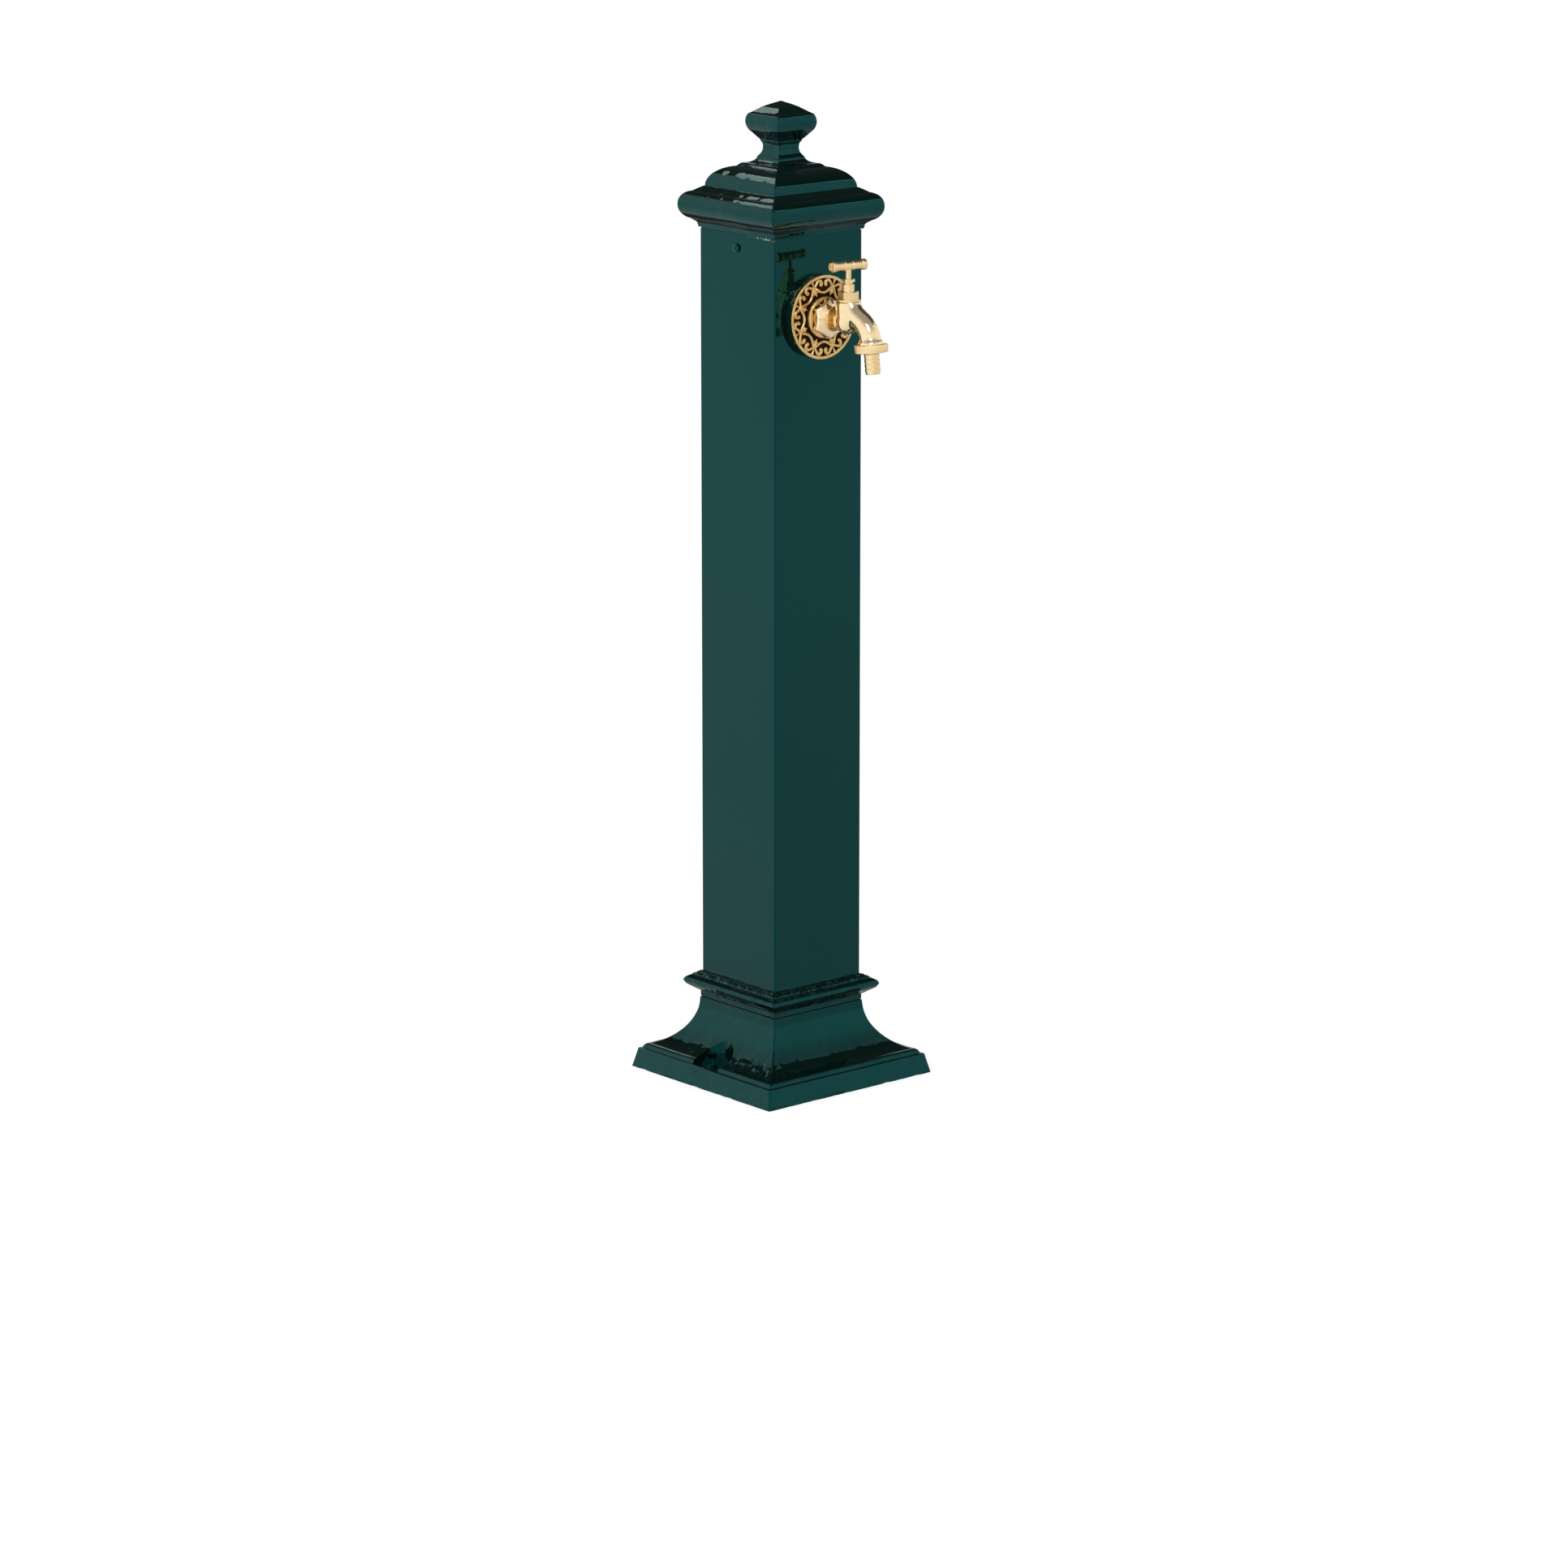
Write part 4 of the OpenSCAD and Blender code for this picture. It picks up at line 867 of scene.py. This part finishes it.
def tap_field(p):
    """Distance to the surface of the tap body, with the cast blends between its forms"""
    x, y, z = p[:, 0], p[:, 1], p[:, 2] - TAP_Z
    # Flange: a hexagon with its front corners turned off
    radial = np.hypot(x, z)
    flats = np.full(len(p), -99.0)
    for turn in np.radians((0, 60, 120)):
        flats = smooth_max(flats, np.abs(x * math.cos(turn) + z * math.sin(turn)) - FLANGE_HALF, 0.5)
    chamfer = (radial - (20.3 + (y + 72.2) * 1.4)) * 0.581
    hexagon = smooth_max(smooth_max(flats, chamfer, 1.6), smooth_max(y + 66, -77 - y, 0.1), 0.9)
    tail = drum_field(p, 1, (0, TAP_Z), -67, -34, TAIL_R)
    neck = drum_field(p, 1, (0, TAP_Z), BARREL_Y, -76, NECK_R)
    barrel = smooth_min(drum_field(p, 2, (0, BARREL_Y), TAP_Z, TAP_Z + 19, BARREL_R, 0.5),
                        np.linalg.norm(p - np.array([0, BARREL_Y, TAP_Z]), axis=1) - BARREL_R, 0.3)
    # Outlet: a flared end, square to its lean
    down = np.array([0, math.sin(OUTLET_LEAN), -math.cos(OUTLET_LEAN)])
    fall = (p - np.array(OUTLET)) @ down
    reach = np.linalg.norm(p - np.array(OUTLET) - fall[:, None] * down, axis=1)
    flare = smooth_max((reach - (FLARE_R + fall * 0.77)) * 0.792, reach - FLARE_R, 1.2)
    flare = smooth_max(smooth_max(flare, -7 - fall, 0.5), fall - 5.45, 0.6)
    spout = smooth_max(spout_field(p, SPOUT_R, 4), fall - 5.0, 0.3)
    body = neck
    for form, blend in ((barrel, 3.5), (hexagon, 5.0), (spout, 6.5), (flare, 1.5)):
        body = smooth_min(body, form, blend)
    body = np.minimum(body, tail)
    # Waterways: the inlet, the spout's bore and mouth, and the room round the seat's lip
    room = drum_field(p, 2, (0, BARREL_Y), 765.6, 790, 8.25, 0.3)
    lip = drum_field(p, 2, (0, BARREL_Y), 760, 766.4, 6.0, 0.3)
    ways = [drum_field(p, 1, (0, TAP_Z), -95, -30, 4.6, 0.3), spout_field(p, 5, 10.85),
            smooth_max(reach - 5.4, -0.5 - fall, 0.3), smooth_max(room, -lip, 0.3)]
    # Then the chamber under the seat, the hole through it and the bonnet's bore
    for low, high, r, k in ((751, 763.8, 6.5, 0.5), (762.8, 790, 4.6, 0.3), (771.7, 790, 9.45, 0.3)):
        ways.append(drum_field(p, 2, (0, BARREL_Y), low, high, r, k))
    return smooth_max(body, -np.min(ways, axis=0), 0.5)


def surface_net(field, low, high, step):
    """Quads over the zero level of a field, with each point moved onto that level"""
    axes = [np.arange(low[i], high[i] + step, step) for i in range(3)]
    grid = np.stack(np.meshgrid(*axes, indexing="ij"), -1)
    value = field(grid.reshape(-1, 3)).reshape(grid.shape[:3])
    inside = value < 0
    cells = tuple(n - 1 for n in value.shape)
    total = np.zeros(cells, int)
    for i, j, k in itertools.product((0, 1), repeat=3):
        total += inside[i:i + cells[0], j:j + cells[1], k:k + cells[2]]
    # The cells that the surface passes through
    active = (total > 0) & (total < 8)
    number = np.full(cells, -1)
    number[active] = np.arange(active.sum())
    # One point in each, at the mean of where its edges cross the surface
    spots = np.argwhere(active)
    sums, counts = np.zeros((len(spots), 3)), np.zeros(len(spots))
    for axis in range(3):
        others = [i for i in range(3) if i != axis]
        for offset in itertools.product((0, 1), repeat=2):
            first = spots.copy()
            first[:, others[0]] += offset[0]
            first[:, others[1]] += offset[1]
            second = first.copy()
            second[:, axis] += 1
            a, b = value[tuple(first.T)], value[tuple(second.T)]
            cross = (a < 0) != (b < 0)
            t = a[cross] / (a[cross] - b[cross])
            place = first[cross].astype(float)
            place[:, axis] += t
            sums[cross] += place
            counts[cross] += 1
    points = np.array(low) + sums / counts[:, None] * step
    # One quad round each grid edge that crosses the surface
    faces = []
    for axis in range(3):
        others = [(axis + 1) % 3, (axis + 2) % 3]
        near = [slice(None)] * 3
        far = [slice(None)] * 3
        near[axis], far[axis] = slice(0, -1), slice(1, None)
        change = inside[tuple(near)] != inside[tuple(far)]
        for edge in np.argwhere(change):
            if edge[others[0]] == 0 or edge[others[1]] == 0:
                continue
            quad = []
            for du, dv in ((0, 0), (-1, 0), (-1, -1), (0, -1)):
                cell = edge.copy()
                cell[others[0]] += du
                cell[others[1]] += dv
                quad.append(int(number[tuple(cell)]))
            faces.append(tuple(quad if inside[tuple(edge)] else quad[::-1]))
    # The points are pulled along the field's slope to the surface
    probe = 0.05
    for _ in range(5):
        here = field(points)
        slope = np.stack([(field(points + shift) - field(points - shift)) / (2 * probe)
                          for shift in np.eye(3) * probe], -1)
        steep = (slope ** 2).sum(1).clip(0.2)
        points -= (here / steep)[:, None] * slope
    return points, faces


TAP_LOW, TAP_HIGH = (-21.3, -147.2, 734.1), (21.3, -33.2, 780.2)
TAP_STEP = 0.62


def make_tap_body():
    """Bib tap body, cast in one and polished, with its waterways"""
    points, faces = surface_net(tap_field, TAP_LOW, TAP_HIGH, TAP_STEP)
    ob = new_object("tap_casting", points, faces)
    finish_piece(ob, "tap_body", sharp=55)


# Headwork

HEX_TURN = math.radians(23)
BONNET_HEX, GLAND_HEX = 8.65, 5.5
BAR_R, BAR_HOLE_R = 4.35, 2.8
AT_BARREL = Matrix.Translation((0, BARREL_Y, 0))


def make_bonnet():
    """Hexagonal headpart with a round flange below and a slim top"""
    outline = [(9.4, 772), (9.4, 778.8), (11.5, 778.8), (11.5, 780.7), (9.35, 780.71), (9.99, 781.2),
               (9.99, 787.3), (9.2, 787.99), (5.75, 788), (5.75, 795), (4.25, 795), (4.25, 790),
               (2.82, 790), (2.82, 787.5), (5.27, 787.5), (5.27, 779.5), (7.4, 779.5), (7.4, 772)]
    profile = soften(outline, 0.3, 3)
    flats = [BONNET_HEX if 780.7 <= z <= 788.0 and r > 8 else math.inf for r, z in profile]
    ob = turned("bonnet_turned", profile, 144, True, AT_BARREL, flats, HEX_TURN)
    finish_piece(ob, "bonnet", sharp=30)


def make_gland_nut():
    """Small gland nut round the spindle"""
    outline = [(4.2, 793.5), (4.2, 797), (5.9, 797), (6.35, 797.4), (6.35, 799.3), (5.6, 800),
               (2.82, 800), (2.82, 793.5)]
    profile = soften(outline, 0.25, 3)
    flats = [GLAND_HEX if z >= 796.99 and r > 4.5 else math.inf for r, z in profile]
    ob = turned("gland_nut_turned", profile, 120, True, AT_BARREL, flats, HEX_TURN)
    finish_piece(ob, "gland_nut", sharp=30)


def make_handle():
    """Turned T-bar with knobbed, hollow ends and two thin collars beside the spindle"""
    half = [(0.01, -17.2), (3.6, -17.2), (3.8, -19.4), (4.5, -19.5), (5.3, -18.7), (5.3, -15.0),
            (4.9, -14.5), (BAR_R, -14.4), (BAR_R, -5.4), (4.8, -5.2), (4.8, -3.8), (BAR_R, -3.6)]
    outline = half + [(r, -s) for r, s in reversed(half)]
    profile = soften(outline, 0.3, 3, closed=False)
    place = (Matrix.Translation((0, BARREL_Y, HANDLE_Z)) @ Matrix.Rotation(HANDLE_TURN, 4, "Z")
             @ Matrix.Rotation(TAU / 4, 4, "Y"))
    ob = turned("handle_bar", profile, 96, False, place)
    bore = ((0, BARREL_Y, HANDLE_Z - 7), (0, BARREL_Y, HANDLE_Z), BAR_HOLE_R, BAR_HOLE_R)
    carve(ob, cylinders("spindle hole", [bore]), "DIFFERENCE")
    finish_piece(ob, "t_handle", "headwork")


# Hose union

AT_OUTLET = Matrix.Translation(OUTLET) @ Matrix.Rotation(OUTLET_LEAN, 4, "X")
KNURLS = 144
KNURL_DEPTH = 0.13
NUT_R = 16.15


def make_hose_nut():
    """Round union nut with a fine straight knurl: one ridge, repeated round the outlet's axis"""
    outline = [(15.5, -9.75), (NUT_R, -9.1), (NUT_R, -2.2), (15.5, -1.55), (12.7, -1.55), (12.7, -8.25),
               (7.9, -8.25), (7.9, -9.75)]
    profile = np.array(soften(outline, 0.35, 2))
    ridge = (np.array([0, 0.55, 1, 0.55, 0]) - 1) * KNURL_DEPTH
    across = len(ridge)
    angle = np.linspace(0, TAU / KNURLS, across)
    points = []
    for r, z in profile:
        radii = r + ridge * (r > NUT_R - 0.25)
        points += [(radius * math.cos(a), radius * math.sin(a), z) for radius, a in zip(radii, angle)]
    faces = []
    for i in range(len(profile)):
        a, b = i * across, (i + 1) % len(profile) * across
        faces += [(a + k, a + k + 1, b + k + 1, b + k) for k in range(across - 1)]
    ob = new_object("union_nut_knurled", points, faces)
    repeat_round(ob, KNURLS, tuple(v * MM for v in OUTLET), (OUTLET_LEAN, 0, 0), "turned_brass")
    finish_piece(ob, "hose_nut", "union_nut", sharp=50)


def make_hose_tail():
    """Barbed hose tail, held by its flange inside the nut"""
    top, pitch, barb_r, core_r = -10.95, 4.6, 7.5, 6.95
    outline = [(5, -30.25), (6.6, -30.25), (6.9, -29.9)]
    for i in range(3, -1, -1):
        outline += [(core_r, top - (i + 1) * pitch + 0.02), (barb_r, top - (i + 0.25) * pitch),
                    (barb_r, top - i * pitch - 0.2), (core_r, top - i * pitch)]
    outline += [(core_r, -8.15), (12.3, -8.15), (12.3, -6.65), (5, -6.65)]
    profile = soften(outline, 0.7, 4)
    ob = turned("hose_tail_turned", profile, 96, True, AT_OUTLET)
    finish_piece(ob, "hose_tail", "hose_union", sharp=40)


# Makes the fuller pieces, and gives the CAD nodes their finishes

make_foot()
make_collar()
make_bead()
make_cap()
make_knob()
make_cap_screws()
make_rosette()
make_tap_body()
make_bonnet()
make_gland_nut()
make_handle()
make_hose_nut()
make_hose_tail()

for entry in frame["record"]["subparts"]:
    give_finish(frame["nodes"][entry["node"]], entry)


# Floor and light

ACROSS = Vector((-0.707, 0.707, 0))
ASIDE = Vector((0.759, 0.651, 0))
DARK_SPOT = Vector((0.55, 0.8, 0))
FLOOR_REACH = 30000
FLOOR_GLOW, DARK_GLOW, CARD_GLOW, ROOM_GLOW = 0.46, 0.08, 0.07, 0.62
CARD_Z = 1820
CARD_OUTLINE = [(-200, 850), (-220, 1060), (-350, 2000), (-350, 2500), (2800, 2500), (2800, -240),
                (1475, -240), (1070, -900), (620, -500), (350, 100)]


def make_floor():
    """Pale plain floor, white to the camera, that keeps the object's shadow.

    In reflections it grows brighter away from the object and to the left, has a painted pale green
    reflection band behind on the left, and is dark behind on the right."""
    corners = [(x * FLOOR_REACH, y * FLOOR_REACH, 0) for x, y in ((-1, -1), (1, -1), (1, 1), (-1, 1))]
    ob = new_object("floor", corners, [(0, 1, 2, 3)])
    material = bpy.data.materials.new("matt white studio floor")
    tree = empty_tree(material)
    path = add(tree, "ShaderNodeLightPath").outputs
    place = add(tree, "ShaderNodeTexCoord").outputs["Object"]
    across = add(tree, ALONG, (place, ACROSS))
    reach = add(tree, LENGTH, (place,))
    far = add(tree, EASED, (reach, 0, 3.4, 0, 0.2))
    left = add(tree, EASED, (across, -0.5, 1.2, 0, 0.2))
    mirrored = add(tree, TIMES, (path["Is Glossy Ray"], add(tree, PLUS, (far, left))))
    seen = add(tree, LARGER, (path["Is Camera Ray"], path["Is Transmission Ray"]))
    glow = add(tree, PLUS, (mirrored, add(tree, TIMES, (seen, FLOOR_GLOW))))
    flat = add(tree, "ShaderNodeBsdfDiffuse", {"Color": linear("#F2F2F2")})
    # Painted reflection: a pale green band behind on the left, tinting only what glossy rays see of the
    # floor
    aside = add(tree, ALONG, (place, ASIDE))
    aside = add(tree, ABSOLUTE, (add(tree, PLUS, (aside, 0.042)),))
    behind_left = add(tree, EASED, (across, 0.1, 1.2))
    narrow = add(tree, EASED, (aside, 0.25, 0.10))
    painted_reflection_band = add(tree, TIMES, (behind_left, narrow))
    painted_reflection_band = add(tree, TIMES, (painted_reflection_band, path["Is Glossy Ray"]))
    painted_reflection_hue = add(tree, BLEND, (painted_reflection_band, linear("#FFFFFF"), linear("#89EDED")))
    lit = add(tree, "ShaderNodeEmission", {"Color": painted_reflection_hue, "Strength": glow})
    both = add(tree, "ShaderNodeAddShader", (flat, lit))
    away = add(tree, DISTANCE, (place, DARK_SPOT))
    dim = add(tree, TIMES, (add(tree, EASED, (away, 0.98, 0.68)), path["Is Glossy Ray"]))
    dark = add(tree, "ShaderNodeEmission", {"Strength": DARK_GLOW})
    mixed = add(tree, "ShaderNodeMixShader", (dim, both, dark))
    add(tree, "ShaderNodeOutputMaterial", {"Surface": mixed})
    ob.data.materials.append(material)


def make_card():
    """Dark card overhead, behind on the right, as in a studio: it shows only in reflections"""
    material = bpy.data.materials.new("dark grey card")
    tree = empty_tree(material)
    glow = add(tree, "ShaderNodeEmission", {"Color": linear("#FFFFFF"), "Strength": CARD_GLOW})
    add(tree, "ShaderNodeOutputMaterial", {"Surface": glow})
    corners = [(x, y, CARD_Z) for x, y in CARD_OUTLINE]
    ob = new_object("dark card", corners, [tuple(range(len(corners)))])
    ob.data.materials.append(material)
    ob.visible_camera = ob.visible_diffuse = ob.visible_transmission = ob.visible_shadow = False


def make_world():
    """White studio walls, brightest behind on the left, with a grey ceiling"""
    world = bpy.data.worlds.new("studio")
    tree = empty_tree(world)
    path = add(tree, "ShaderNodeLightPath").outputs
    way = add(tree, "ShaderNodeTexCoord").outputs["Generated"]
    across = add(tree, ALONG, (way, ACROSS))
    walls = add(tree, EASED, (across, -1, 1, 0.92, 1.0))
    height = add(tree, SPLIT, (way,)).outputs[2]
    ceiling = add(tree, EASED, (height, 0.35, 0.95, 1, 0.36))
    shine = add(tree, TIMES, (path["Is Glossy Ray"], add(tree, TIMES, (walls, ceiling))))
    plain = add(tree, LARGER, (path["Is Camera Ray"], path["Is Transmission Ray"]))
    other = add(tree, LARGER, (plain, path["Is Glossy Ray"]))
    rest = add(tree, TIMES, (add(tree, MINUS, (1, other)), ROOM_GLOW))
    level = add(tree, PLUS, (add(tree, PLUS, (plain, shine)), rest))
    light = add(tree, "ShaderNodeBackground", {"Color": linear("#FFFFFF"), "Strength": level})
    add(tree, "ShaderNodeOutputWorld", {"Surface": light})
    bpy.context.scene.world = world


def soft_box(name, place, aim, size, watts, colour=None):
    """Soft area light that faces a point. Only one with a colour shows in reflections"""
    light = bpy.data.lights.new(name, "AREA")
    light.shape = "RECTANGLE"
    light.size, light.size_y = size
    light.energy = watts
    ob = bpy.data.objects.new(name, light)
    ob.location = place
    ob.rotation_euler = (Vector(place) - Vector(aim)).to_track_quat("Z", "Y").to_euler()
    ob.visible_glossy = colour is not None
    light.color = colour or (1, 1, 1)
    bpy.context.scene.collection.objects.link(ob)


make_floor()
make_card()
make_world()
soft_box("back strip", (-0.10, 0.865, 1.69), (-0.10, 0.865, 0), (0.5, 0.17), 0.65, (1, 0.82, 0.79))
soft_box("window", (-0.58, -0.85, 1.70), (0, -0.12, 0.75), (0.5, 0.5), 3.0, (1, 0.99, 0.96))
soft_box("edge strip", (1.01, -0.865, 1.80), (1.01, -0.865, 0), (0.34, 0.10), 0.14, (1, 0.92, 0.9))
soft_box("front strip", (-2.1, -2.1, 1.25), (0, 0, 0.75), (0.14, 1.1), 1.3, (1, 1, 1))
soft_box("left key", (-3.4, -1.4, 1.9), (0, 0, 0.5), (1.4, 1.4), 26)
soft_box("right fill", (3.2, -2.4, 1.8), (0, 0, 0.5), (1.6, 1.6), 3)

bpy.context.view_layer.update()
